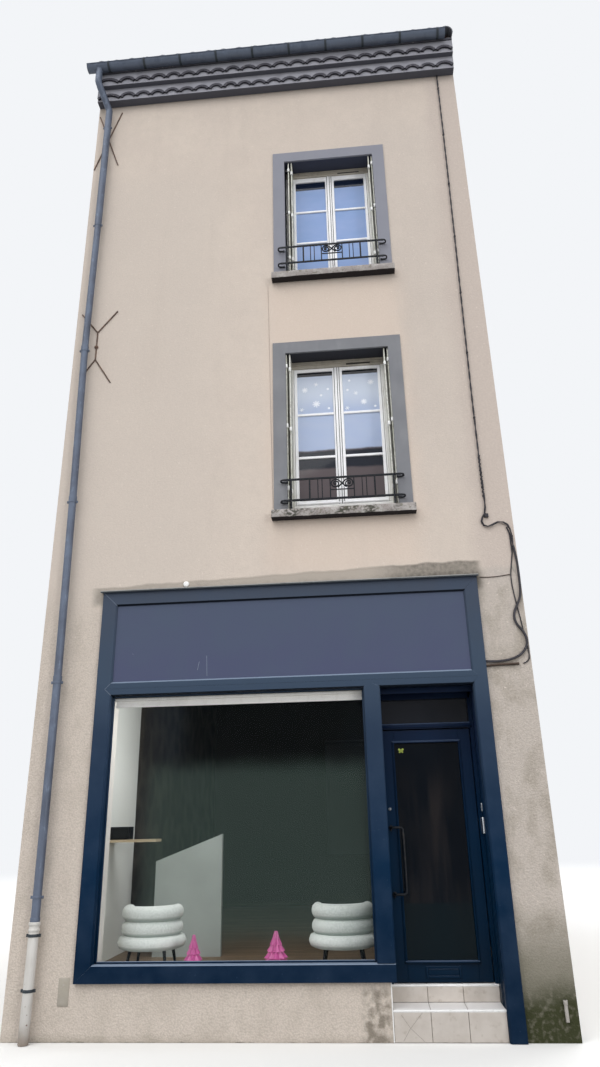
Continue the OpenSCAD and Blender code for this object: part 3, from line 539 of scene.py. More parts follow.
# The tile ends of the cornice: the same grey paint drawn much darker, as painted shade
corniceTileShade = cornicePaint("corniceTileShaded", "#54535A", "#424148", "#333239")
eaveBoardPaint = cornicePaint("eaveBoardPaint", "#63636B", "#4C4C54", "#3A3A41")
whiteBlock = coatedMetal("whiteBlock", "#F1F1EE", "#D6D5CF")
creamFrame = coatedMetal("creamFrame", "#E6E5E1", "#C6C3BA", 0.45)
# Head boards of the window frames: the cream drawn darker and greyer as painted shade
shadedHeadFrame = coatedMetal("shadedHeadFrame", "#B4ADA0", "#958D80", 0.5)
print("materials made:", len(bpy.data.materials))


# Light and stage
studio = {
    "backdrop": "#F3F5F8", "floor": "#E8E7E3", "floorLow": "#8C8B88", "floorReach": 70, "floorLevel": -0.002,
    "fade": (9.0, 30.0), "skyColour": "#F7F9FF", "zenith": 1.25, "horizon": 0.62, "below": 0.2,
    # Name, kind, place, the way it comes from, strength. The low lamp reaches through the shop window, as light from
    # the open street does; the last is the ceiling lamp of the shop, just behind the head of its window
    "lamps": (("keyLamp", "SUN", (0, 0, 0), (-0.30, -0.75, 0.95), 1.35),
              ("fillLamp", "SUN", (0, 0, 0), (0.45, 0.85, 0.70), 0.9),
              ("lowLamp", "SUN", (0, 0, 0), (0.90, -1.00, 0.18), 0.55),
              ("shopLamp", "AREA", (-0.6, -3.10, 3.05), (1.1, -0.25, 1), 30)),
    "softness": {"keyLamp": 55, "fillLamp": 55, "lowLamp": 12}, "shopLampSize": (1.6, 0.4),
}


# 1 for the camera, for reflections and for what is seen through glass
def seenDirectly():
    path = addNode("LightPath")
    rays = [path.outputs["Is " + kind + " Ray"] for kind in ("Camera", "Glossy", "Transmission")]
    both = addNode("Math", {"operation": "MAXIMUM"}, {0: rays[0], 1: rays[1]})
    return addNode("Math", {"operation": "MAXIMUM"}, {0: both, 1: rays[2]})


def makeLight(s):
    world = bpy.data.worlds.new("studioSky")
    scene.world = world
    world.use_nodes = True
    making["tree"] = world.node_tree
    lighting = world.node_tree.nodes["Background"]
    way = addNode("SeparateXYZ", {}, {0: addNode("TexCoord").outputs["Generated"]})
    above = addNode("MapRange", {"From Min": 0.0, "From Max": 0.8, "To Min": s["horizon"], "To Max": s["zenith"]},
                    {"Value": way.outputs["Z"]})
    isUp = addNode("MapRange", {"From Min": -0.05, "From Max": 0.05, "To Min": s["below"] / s["horizon"]},
                   {"Value": way.outputs["Z"]})
    setInput(lighting.inputs["Color"], s["skyColour"])
    link(times(above, isUp), lighting.inputs["Strength"])
    seen = addNode("Background", {"Color": s["backdrop"], "Strength": 1.0})
    both = addNode("MixShader", {}, {0: seenDirectly(), 1: lighting, 2: seen})
    link(both, world.node_tree.nodes["World Output"].inputs["Surface"])
    for name, kind, place, way, strength in s["lamps"]:
        lamp = bpy.data.lights.new(name, kind)
        lamp.energy = strength
        holder = bpy.data.objects.new(name, lamp)
        holder.matrix_world = Matrix.Translation(place) @ Vector(way).to_track_quat("Z", "Y").to_matrix().to_4x4()
        scene.collection.objects.link(holder)
        if name in s["softness"]:
            lamp.angle = math.radians(s["softness"][name])
    lamp.shape, lamp.size, lamp.size_y = "RECTANGLE", *s["shopLampSize"]
    holder.visible_camera = holder.visible_glossy = False

    bm = bmesh.new()
    bmesh.ops.create_circle(bm, cap_ends=True, segments=64, radius=s["floorReach"])
    bmesh.ops.translate(bm, vec=(0, 0, s["floorLevel"]), verts=bm.verts)
    mesh = bpy.data.meshes.new("studioFloor")
    bm.to_mesh(mesh)
    bm.free()
    coord = startMaterial("studioFloor", Roughness=0.9, Specular_IOR_Level=0.1)
    material = finishMaterial(layers(s["floorLow"], (s["floor"], seenDirectly())))
    far = addNode("VectorMath", {"operation": "LENGTH"}, {0: coord})
    fade = addNode("MapRange",
                   {"interpolation_type": "SMOOTHSTEP", "From Min": s["fade"][0], "From Max": s["fade"][1]},
                   {"Value": far.outputs["Value"]})
    blank = addNode("Emission", {"Color": s["backdrop"]})
    both = addNode("MixShader", {}, {0: times(fade, seenDirectly()), 1: making["shader"], 2: blank})
    link(both, material.node_tree.nodes["Material Output"].inputs["Surface"])
    mesh.materials.append(material)
    floor = bpy.data.objects.new("studioFloor", mesh)
    scene.collection.objects.link(floor)


makeLight(studio)
print("light and floor made")


# Modelling helpers. What has _rear in its name is made at the street, and turned round the middle of the house

def makePiece(name, bm, slot, hides=(), body="building", finish=None, sharp=35, recalc=True):
    if "_rear" in name:
        bmesh.ops.transform(bm, matrix=Matrix.Rotation(math.pi, 4, "Z"), verts=bm.verts)
    if recalc:
        bmesh.ops.recalc_face_normals(bm, faces=bm.faces)
    mesh = bpy.data.meshes.new(name)
    bm.to_mesh(mesh)
    bm.free()
    mesh.materials.append(finish or finishes[slot])
    mesh.shade_smooth()
    mesh.set_sharp_from_angle(angle=math.radians(sharp))
    piece = bpy.data.objects.new(name, mesh)
    scene.collection.objects.link(piece)
    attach(piece, body)
    if hides:
        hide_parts(*hides)


# What lies round some vertices, each part once and in a fixed order
def around(verts, kind="link_edges"):
    return list(dict.fromkeys(part for vert in verts for part in getattr(vert, kind)))


def vertsIn(geom):
    return [part for part in geom if isinstance(part, bmesh.types.BMVert)]


def firstFace(geom):
    return next(part for part in geom if isinstance(part, bmesh.types.BMFace))


def bevel(bm, edges, offset, steps=1):
    return bmesh.ops.bevel(bm, geom=edges, offset=offset, offset_type="OFFSET", segments=steps, profile=0.5,
                           affect="EDGES", material=-1)["verts"]


def joinPart(bm, part):
    mesh = bpy.data.meshes.new("part")
    part.to_mesh(mesh)
    part.free()
    bm.from_mesh(mesh)
    bpy.data.meshes.remove(mesh)


# A block between two corners, its edges eased
def addBlock(bm, low, high, ease=0.0, steps=1):
    low, high = Vector(low), Vector(high)
    verts = bmesh.ops.create_cube(bm, size=1)["verts"]
    bmesh.ops.scale(bm, vec=high - low, verts=verts)
    bmesh.ops.translate(bm, vec=(low + high) / 2, verts=verts)
    return bevel(bm, around(verts), ease, steps) if ease else verts


# A round bar between two points, its rims eased
def addBar(bm, start, end, radius, sides=16, ease=0.0, endRadius=None):
    start, end = Vector(start), Vector(end)
    run = end - start
    place = Matrix.Translation((start + end) / 2) @ run.to_track_quat("Z", "Y").to_matrix().to_4x4()
    verts = bmesh.ops.create_cone(bm, cap_ends=True, segments=sides, radius1=radius,
                                  radius2=radius if endRadius is None else endRadius,
                                  depth=run.length, matrix=place)["verts"]
    if ease:
        bevel(bm, [e for e in around(verts) if any(len(f.verts) > 4 for f in e.link_faces)], ease, 2)


def addUpright(bm, x, y, low, high, *shape):
    addBar(bm, (x, y, low), (x, y, high), *shape)


# A round thing square to the front, between two depths
def addStud(bm, x, z, near, far, *shape):
    addBar(bm, (x, near, z), (x, far, z), *shape)


# A flat bar between two points on a plane facing the street
def addFlat(bm, start, end, wide, thick, ease=0.0):
    start, end = Vector(start), Vector(end)
    run = end - start
    verts = addBlock(bm, (-wide / 2, -thick / 2, 0), (wide / 2, thick / 2, run.length), ease)
    turn = Matrix.Rotation(math.atan2(run.x, run.z), 4, "Y")
    bmesh.ops.transform(bm, matrix=Matrix.Translation(start) @ turn, verts=verts)


# Flat bars along lines given as pairs of (x, z)
def addStrokes(bm, lines, y, *shape):
    for (x0, z0), (x1, z1) in lines:
        addFlat(bm, (x0, y, z0), (x1, y, z1), *shape)


# A bent bar through points; resolution 0 gives a four-sided bar
def addBent(bm, points, radius, resolution=1, smooth=False):
    curve = bpy.data.curves.new("bend", "CURVE")
    curve.dimensions = "3D"
    curve.bevel_depth = radius
    curve.bevel_resolution = resolution
    curve.use_fill_caps = True
    curve.resolution_u = 4
    spline = curve.splines.new("NURBS" if smooth else "POLY")
    spline.points.add(len(points) - 1)
    for knot, point in zip(spline.points, points):
        knot.co = (*point, 1)
    spline.use_endpoint_u = True
    spline.order_u = 3
    holder = bpy.data.objects.new("bend", curve)
    bm.from_mesh(bpy.data.meshes.new_from_object(holder))
    bpy.data.objects.remove(holder)
    bpy.data.curves.remove(curve)


# A thin sheet curved about an axis along X or Y, as mesh
def curvedSheet(start, end, centre, axis, angle, steps, thickness):
    bm = bmesh.new()
    ends = [bm.verts.new(start), bm.verts.new(end)]
    line = bm.edges.new(ends)
    bmesh.ops.spin(bm, geom=[*ends, line], cent=centre, axis=axis, angle=math.radians(angle), steps=steps)
    bmesh.ops.remove_doubles(bm, verts=bm.verts, dist=1e-6)
    bmesh.ops.recalc_face_normals(bm, faces=bm.faces)
    bmesh.ops.solidify(bm, geom=bm.faces[:], thickness=thickness)
    mesh = bpy.data.meshes.new("sheet")
    bm.to_mesh(mesh)
    bm.free()
    return mesh


def addPlaced(bm, mesh, place):
    mesh.transform(place)
    bm.from_mesh(mesh)
    mesh.transform(place.inverted())


# CAD nodes whose shape stays take their finish here
for finish, nodes in (
        (finishes["lower_render"], ("front_pier_left", "front_pier_right", "stall_riser", "rear_wall_ground_floor")),
        (finishes["wall_render"], ("front_wall_first_floor", "front_wall_second_floor", "rear_wall_first_floor",
                                   "rear_wall_second_floor")),
        (finishes["party_render"], ("party_wall_left", "party_wall_right")),
        (finishes["floor_boards"], ("ground_floor", "first_floor", "second_floor")),
        (finishes["white_plaster"], ("shop_partition",)), (finishes["surround_paint"], ("window_surrounds",)),
        (finishes["door_paint"], ("doorway_lining",)), (finishes["hinge_steel"], ("door_hinges",)),
        (finishes["window_glass"], ("window_glass",)), (shopPane, ("shop_window_glass",)),
        (doorPane, ("door_glass", "transom_glass")), (shelfBoard, ("wall_shelf",))):
    for node in nodes:
        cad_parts[node].data.materials.clear()
        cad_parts[node].data.materials.append(finish)
print("finishes laid on the walls, floors and glass")


# Cornice: two courses of canal tile ends bedded in mortar
cornice = {
    "foot": 11.225, "course": 0.200, "outs": (0.125, 0.205), "valley": 0.056, "crest": 0.124, "thick": 0.037,
    "fillBack": 0.018, "deep": (0.10, 0.16), "top": 11.625, "seed": 11,
    # Middles of the tile ends of the lower and the upper course
    "middles": (
        (-2.256, -2.037, -1.819, -1.614, -1.410, -1.205, -0.990, -0.787, -0.585, -0.395, -0.183, 0.017, 0.236, 0.451,
         0.650, 0.860, 1.058, 1.293, 1.500, 1.713, 1.918, 2.124, 2.335),
        (-2.268, -2.037, -1.807, -1.589, -1.373, -1.170, -0.954, -0.752, -0.550, -0.325, -0.101, 0.123, 0.357,
         0.579, 0.813, 1.068, 1.298, 1.486, 1.717, 1.948, 2.146, 2.344)),
}


def makeCornice(s, side):
    draw = random.Random(s["seed"] + (side == "rear"))
    mortar, tiles = bmesh.new(), bmesh.new()
    for course, out in enumerate(s["outs"]):
        foot = s["foot"] + course * s["course"]
        face = street - out
        top = s["top"] if course else foot + s["course"]
        middles = s["middles"][course]
        ends = [-halfWidth, *((a + b) / 2 for a, b in zip(middles, middles[1:])), halfWidth]
        scallops = bmesh.new()
        for x, end in zip(ends, ends[1:]):
            wide = end - x
            rise = min(s["crest"] - s["valley"] + draw.uniform(-0.006, 0.006), 0.42 * wide)
            radius = (wide ** 2 / 4 + rise ** 2) / (2 * rise)
            middle = x + wide / 2
            hub = foot + s["valley"] + rise - radius
            reach = 2 * math.degrees(math.asin(min(1, wide / 2 / radius)))
            start = scallops.verts.new((x, face, foot + s["valley"]))
            bmesh.ops.spin(scallops, geom=[start], cent=(middle, face, hub), axis=(0, 1, 0),
                           angle=math.radians(reach), steps=8)
            lipAt = face - 0.003 - draw.uniform(0, 0.004)
            tiles.from_mesh(curvedSheet((x, lipAt, foot + s["valley"]), (x, face + 0.07, foot + s["valley"]),
                                        (middle, face, hub), (0, 1, 0), reach, 8, s["thick"]))
        bmesh.ops.remove_doubles(scallops, verts=scallops.verts, dist=0.002)
        upper = bmesh.ops.extrude_edge_only(scallops, edges=scallops.edges[:])["geom"]
        for vert in vertsIn(upper):
            vert.co.z = top
        back = bmesh.ops.extrude_face_region(scallops, geom=scallops.faces[:])["geom"]
        bmesh.ops.translate(scallops, vec=(0, s["deep"][course], 0), verts=vertsIn(back))
        joinPart(mortar, scallops)
        addBlock(mortar, (-halfWidth, face + s["fillBack"], foot), (halfWidth, street + 0.05, top - 0.02), 0.004)
    makePiece("cornice_mortar_" + side, mortar, "cornice_paint", ["cornice_" + side])
    # The tile ends take the darker paint, as painted shade
    makePiece("cornice_tile_ends_" + side, tiles, "cornice_paint", finish=corniceTileShade, recalc=False)


for side in ("front", "rear"):
    makeCornice(cornice, side)
print("cornices made")


# Roof: boards, a layer of channel tiles, a layer of cover tiles over their joints
roof = {
    "slope": 0.30, "eaveOut": 0.290, "boardsOut": 0.215, "levelOut": 0.205, "eaveUnder": 11.625, "boards": 0.040,
    "tile": 0.221, "shown": 0.375, "length": 0.455, "coverRadius": 0.083, "channelRadius": 0.093, "thick": 0.012,
    "plank": 0.14, "verge": 0.06, "seed": 23,
}


def makeRoof(s, side):
    draw = random.Random(s["seed"] + (side == "rear"))
    pitch = math.atan(s["slope"])
    tip = Matrix.Rotation(-0.012 / s["shown"], 4, "X")
    over, under = s["coverRadius"], s["channelRadius"]
    tiles, boards, verge = (bmesh.new() for _ in range(3))

    # The plane of the slope, from a distance before the wall and raised over the underside of the boards
    def slopeFrom(out, raised):
        level = s["eaveUnder"] + s["slope"] * (s["levelOut"] - out) + raised
        return Matrix.Translation((0, street - out, level)) @ Matrix.Rotation(pitch, 4, "X")

    cover = curvedSheet((-over, 0, 0), (-0.86 * over, s["length"], 0), (0, 0, 0), (0, 1, 0), 180, 8, -s["thick"])
    channel = curvedSheet((-0.774 * under, 0, -0.04), (-0.9 * under, s["length"], -0.04),
                          (0, 0, 0), (0, 1, 0), -132, 6, s["thick"])
    eave = slopeFrom(s["eaveOut"], s["boards"])
    run = (s["eaveOut"] - street) / math.cos(pitch)
    columns = round(2 * halfWidth / s["tile"])
    outer = halfWidth - over - 0.004
    for column in range(columns + 1):
        x = column * 2 * outer / columns - outer
        for row in range(int(run / s["shown"]) + 1):
            along = min(row * s["shown"] + draw.uniform(-0.012, 0.012) * (row > 0), run - s["length"] * 0.86)
            sway = Matrix.Rotation(draw.uniform(-0.022, 0.022), 4, "Z")
            lift = 0.024 + draw.uniform(-0.003, 0.002)
            place = eave @ Matrix.Translation((x + draw.uniform(-0.004, 0.004), along, lift))
            if column in (0, columns):    # the outer columns keep in line with the wall
                place.translation.x = x
                sway = Matrix.Identity(4)
            addPlaced(tiles, cover, place @ tip @ sway)
            if column < columns:
                between = Matrix.Translation((x + outer / columns, max(0.0, along - 0.03), 0.020 + under))
                addPlaced(tiles, channel, eave @ between @ tip)
    length = (s["boardsOut"] - street) / math.cos(pitch)
    for i in range(int(length / s["plank"])):
        addBlock(boards, (-halfWidth, i * s["plank"] + 0.0015, 0.004),
                 (halfWidth, (i + 1) * s["plank"] - 0.0015, 0.036), 0.002)
    bmesh.ops.transform(boards, matrix=slopeFrom(s["boardsOut"], 0.0), verts=boards.verts)
    for low, high in ((-halfWidth, s["verge"] - halfWidth), (halfWidth - s["verge"], halfWidth)):
        addBlock(verge, (low, 0.05, 0.0), (high, length - 0.02, 0.075), 0.006)
    bmesh.ops.transform(verge, matrix=slopeFrom(s["boardsOut"], 0.01), verts=verge.verts)
    makePiece("roof_tiles_" + side, tiles, "clay_tile", ["roof_" + side], recalc=False)
    makePiece("roof_boards_" + side, boards, "floor_boards", finish=eaveBoardPaint)
    makePiece("verge_mortar_" + side, verge, "party_render")


for side in ("front", "rear"):
    makeRoof(roof, side)


# Ridge: capping tiles bedded on mortar, each lapping the next
ridge = {"top": 13.1115, "radius": 0.112, "length": 0.42, "shown": 0.36, "thick": 0.014, "seed": 5}


def makeRidge(s):
    draw = random.Random(s["seed"])
    tiles, bed = bmesh.new(), bmesh.new()
    cap = curvedSheet((0, -0.94 * s["radius"], 0), (s["length"], -s["radius"], 0),
                      (0, 0, 0), (1, 0, 0), -180, 10, s["thick"])
    count = math.ceil((2 * halfWidth - s["length"]) / s["shown"]) + 1
    step = (2 * halfWidth - s["length"]) / (count - 1)
    for i in range(count):
        level = s["top"] - s["radius"] - 0.010 + draw.uniform(-0.003, 0.003)
        addPlaced(tiles, cap, Matrix.Translation((-halfWidth + i * step, 0, level)) @ Matrix.Rotation(0.012, 4, "Y"))
    addBlock(bed, (-halfWidth + 0.01, -0.10, s["top"] - 0.20), (halfWidth - 0.01, 0.10, s["top"] - 0.075), 0.02, 2)
    makePiece("ridge_capping", tiles, "clay_tile", ["ridge_tiles"], recalc=False)
    makePiece("ridge_mortar", bed, "party_render")


makeRidge(ridge)
print("roof made")


# Gutters: half round zinc on strap brackets, a rolled bead along the front, an outlet over the pipe
gutter = {
    "out": 0.283, "rim": 11.687, "radius": 0.073, "thick": 0.003, "bead": 0.0075, "gap": 0.505,
    "strap": 0.030, "strapThick": 0.005, "firstStrap": 0.293, "seams": (1.97, 3.96), "seam": 0.045,
    "outletRadius": 0.049, "outletFoot": 0.042,
    # Left end, right end and outlet
    "front": (-2.580, 2.375, -2.415), "rear": (-2.475, 2.475, 2.250),
}


def makeGutter(s, side):
    left, right, outletX = s[side]
    y = street - s["out"]
    hub = (0, y, s["rim"])
    bm = bmesh.new()
    r = s["radius"]
    bm.from_mesh(curvedSheet((left, y - r, s["rim"]), (right, y - r, s["rim"]), hub, (1, 0, 0), 180, 18, s["thick"]))
    beadY, beadZ = y - r - 0.001, s["rim"] - s["bead"]
    addBar(bm, (left, beadY, beadZ), (right, beadY, beadZ), s["bead"], 10)
    for x in (left, right):
        disc = bmesh.ops.create_circle(bm, cap_ends=True, segments=36, radius=r + 0.0028)["verts"]
        turned = Matrix.Translation((x, y, s["rim"])) @ Matrix.Rotation(math.pi / 2, 4, "Y")
        bmesh.ops.transform(bm, matrix=turned, verts=disc)
        parts = [*around(disc, "link_faces"), *around(disc), *disc]
        kept = bmesh.ops.bisect_plane(bm, geom=parts, plane_co=(x, y, s["rim"] - 0.0005), plane_no=(0, 0, 1),
                                      clear_outer=True)
        bmesh.ops.solidify(bm, geom=[firstFace(kept["geom"])], thickness=math.copysign(s["thick"], x))
    for x in (left + seam for seam in s["seams"]):
        bm.from_mesh(curvedSheet((x, y - r - 0.004, s["rim"] - 0.001),
                                 (x + s["seam"], y - r - 0.004, s["rim"] - 0.001),
                                 hub, (1, 0, 0), 180, 18, 0.0015))
    addUpright(bm, outletX, y, s["rim"] - r + 0.012, s["rim"] - r - 0.02, s["outletRadius"], 20, 0.0, s["outletFoot"])
    straps = bmesh.new()
    x = left + s["firstStrap"]
    while x + s["strap"] < right:
        straps.from_mesh(curvedSheet((x, y - r - 0.0075, s["rim"]), (x + s["strap"], y - r - 0.0075, s["rim"]), hub,
                                     (1, 0, 0), 180, 16, s["strapThick"]))
        addBlock(straps, (x, y + r, s["rim"] - 0.022), (x + s["strap"], street - 0.206, s["rim"] - 0.012), 0.001)
        x += s["gap"]
    makePiece("gutter_trough_" + side, bm, "dark_zinc", [side + "_gutter"])
    makePiece("gutter_straps_" + side, straps, "dark_zinc", finish=strapZinc)


strapZinc = zincSheet("strapZinc", "#2B3238", "#3A4249", "#20262B", 0.6, 0.2)
makeGutter(gutter, "front")
makeGutter(gutter, "rear")
print("gutters made")


# Downpipes: lengths of zinc pipe socketed into each other, held off the wall by two-part clips
pipe = {
    "radius": 0.040, "off": 0.085, "top": 11.612, "knee": 11.400, "ankle": 11.060, "bend": 0.11,
    "joints": [(-2.228, 0.945), (-2.240, 3.130), (-2.268, 5.120), (-2.305, 7.108), (-2.297, 9.040), (-2.298, 11.060)],
    "clips": [(-2.298, 10.720), (-2.297, 8.995), (-2.305, 7.063), (-2.268, 5.075), (-2.240, 3.085), (-2.229, 1.133)],
    "clipHeight": 0.025, "rearJoints": (0.0, 3.13, 5.12, 7.108, 9.04),
}


# The swan neck, from the outlet of the gutter to the first joint below it
def addNeck(bm, s, topX, footX, end):
    down = Vector((0, 0, -1))
    knee = Vector((topX, street - gutter["out"], s["knee"]))
    ankle = Vector((footX, street - s["off"], s["ankle"]))
    run = ankle - knee
    turn = down.angle(run)
    axis = down.cross(run).normalized()
    tangent = s["bend"] * math.tan(turn / 2)
    way = run.normalized()
    face = bmesh.ops.create_circle(bm, cap_ends=True, segments=24, radius=s["radius"] * 1.12,
                                   matrix=Matrix.Translation((knee.x, knee.y, s["top"])))["verts"][0].link_faces[0]
    middle = knee + Vector((0, 0, tangent))

    def goTo(face, middle, target):
        fresh = bmesh.ops.extrude_face_region(bm, geom=[face])["geom"]
        bmesh.ops.translate(bm, vec=target - middle, verts=vertsIn(fresh))
        return firstFace(fresh)

    def bendBy(face, hub, angle):
        geom = [face, *face.edges, *face.verts]
        return firstFace(bmesh.ops.spin(bm, geom=geom, cent=hub, axis=axis, angle=angle, steps=6)["geom_last"])

    face = goTo(face, Vector((knee.x, knee.y, s["top"])), middle)
    face = bendBy(face, middle + axis.cross(down) * s["bend"], turn)
    middle = knee + way * tangent
    low = knee + run - way * tangent
    face = goTo(face, middle, low)
    face = bendBy(face, low - axis.cross(way) * s["bend"], -turn)
    goTo(face, ankle - Vector((0, 0, tangent)), end)
    for at, lean in ((knee + way * (tangent + 0.03), way), (low - way * 0.03, way)):
        addBar(bm, at - lean * 0.012, at + lean * 0.012, s["radius"] + 0.003, 24, 0.002)


def addClip(bm, x, z, radius, height, arm=True):
    y = street - pipe["off"]
    addUpright(bm, x, y, z, z + height, radius + 0.005, 24, 0.003)
    for side in (-1, 1):
        low, high = sorted((x + side * (radius + 0.002), x + side * (radius + 0.020)))
        for front in (0, 1):
            addBlock(bm, (low, y - 0.008 + front * 0.009, z), (high, y - 0.001 + front * 0.009, z + height), 0.001)
        addBar(bm, (x + side * (radius + 0.012), y - 0.014, z + height / 2),
               (x + side * (radius + 0.012), y + 0.013, z + height / 2), 0.004, 6)
    if arm:
        addStud(bm, x, z + height / 2, y + radius, street, 0.007, 8)


def makeFrontPipe(s):
    bm = bmesh.new()
    joints = s["joints"]
    y = street - s["off"]
    upper = Vector((joints[-2][0], y, joints[-2][1] + 0.004))
    addNeck(bm, s, gutter["front"][2], joints[-1][0], upper)
    for (lowX, lowZ), (highX, highZ) in zip(joints[:-2], joints[1:-1]):
        addBar(bm, (lowX, y, lowZ + 0.004), (highX, y, highZ - 0.002), s["radius"], 24)
    for x, z in joints[:-1]:
        addBar(bm, (x, y, z - (0.03 if z > 1 else 0)), (x, y, z + 0.035), s["radius"] + 0.0045, 24, 0.002)
    for x, z in s["clips"]:
        addClip(bm, x, z, s["radius"], s["clipHeight"])
    makePiece("downpipe_front", bm, "grey_zinc", ["downpipe"])


def makeRearPipe(s):
    bm = bmesh.new()
    x, y, joints = gutter["rear"][2], street - s["off"], s["rearJoints"]
    addNeck(bm, s, x, x, Vector((x, y, joints[-1])))
    for low, high in zip(joints, joints[1:]):
        addUpright(bm, x, y, low + 0.002, high, s["radius"], 24)
        addUpright(bm, x, y, high - 0.03, high + 0.03, s["radius"] + 0.0045, 24, 0.002)
    for _, z in s["clips"]:
        addClip(bm, x, z, s["radius"], s["clipHeight"])
    makePiece("downpipe_rear", bm, "grey_zinc", ["rear_downpipe"])


makeFrontPipe(pipe)
makeRearPipe(pipe)

# Cast iron boot: a heavier pipe with a ringed socket at its head, in dark clips
boot = {"x": -2.228, "radius": 0.046, "top": 0.945, "rings": [(0.868, 0.022), (0.915, 0.030)],
        "clips": (0.393, 0.824)}


def makeBoot(s):
    bm, clips = bmesh.new(), bmesh.new()
    y = street - pipe["off"]
    addUpright(bm, s["x"], y, 0.0, s["top"], s["radius"], 28, 0.004)
    for z, height in s["rings"]:
        addUpright(bm, s["x"], y, z, z + height, s["radius"] + 0.006, 28, 0.005)
    for z in s["clips"]:
        addClip(clips, s["x"], z, s["radius"], pipe["clipHeight"])
    makePiece("downpipe_boot_iron", bm, "boot_iron", ["downpipe_boot"])
    makePiece("downpipe_boot_clips", clips, "boot_iron", finish=strapZinc)


makeBoot(boot)

# Wall anchors: flat irons forged to a point, a cross and a double fork on one stem
anchors = {
    "wide": 0.015, "thick": 0.012,
    "cross": [((-2.465, 10.070), (-2.140, 11.105)), ((-2.135, 10.120), (-2.455, 11.060))],
    "stem": ((-2.195, 6.990), (-2.195, 7.400)),
    "arms": [((-2.195, 7.390), (-2.415, 7.675)), ((-2.195, 7.390), (-1.965, 7.690)),
             ((-2.195, 7.000), (-2.365, 6.730)), ((-2.195, 7.000), (-1.985, 6.660))],
    "nut": (-2.195, 7.177),
}


def makeAnchors(s):
    bm = bmesh.new()
    addStrokes(bm, s["cross"] + [s["stem"]] + s["arms"], street - s["thick"] / 2, s["wide"], s["thick"], 0.002)
    x, z = s["nut"]
    addStud(bm, x, z, street, street - 0.014, 0.024, 20, 0.002)
    addStud(bm, x, z, street - 0.010, street - 0.026, 0.014, 6, 0.002)
    makePiece("wall_anchor_irons", bm, "rusty_iron", ["wall_anchors"])


makeAnchors(anchors)
print("pipes and anchors made")


# Shopfront boards: chamfered towards the sign and the openings, mitred where they meet
shop = {
    "left": -1.847, "right": 2.034, "foot": 0.445, "top": 4.040, "board": 0.158, "rightBoard": 0.144,
    "signHead": 3.886, "signFoot": 3.092, "head": 2.955, "railTop": 0.589, "lintel": 3.030,
    "mullion": (0.832, 0.993), "out": 0.040, "in": 0.065, "lap": (-1.780, 1.955),
    "signChamfer": 0.015, "openingChamfer": 0.009, "beadFront": 0.030, "beadBack": 0.049, "bead": 0.018,
    # Joints where filler shows through the paint
    "joints": [((-1.843, 4.036), (-1.692, 3.889)), ((-1.689, 3.090), (-1.757, 3.022)),
               ((-1.757, 3.020), (-1.690, 2.957))],
}


# sides names the long front edges to chamfer: L, R, B, T; each cut is a point and the direction that goes
def addBoard(bm, low, high, sides=None, cuts=(), ease=0.0015):
    part = bmesh.new()
    addBlock(part, low, high)
    places = {"L": (0, low[0]), "R": (0, high[0]), "B": (2, low[2]), "T": (2, high[2])}
    for side, wide in (sides or {}).items():
        axis, at = places[side]
        edges = [e for e in part.edges
                 if all(abs(v.co[axis] - at) < 1e-6 and abs(v.co.y - low[1]) < 1e-6 for v in e.verts)]
        bevel(part, edges, wide)
    for point, away in cuts:
        geom = part.verts[:] + part.edges[:] + part.faces[:]
        bmesh.ops.bisect_plane(part, geom=geom, plane_co=point, plane_no=away, clear_outer=True)
        bmesh.ops.holes_fill(part, edges=part.edges[:], sides=0)
    rest = [e for e in part.edges if len(e.link_faces) == 2 and e.calc_face_angle(0) > 0.9]
    if ease:
        bevel(part, rest, ease)
    joinPart(bm, part)


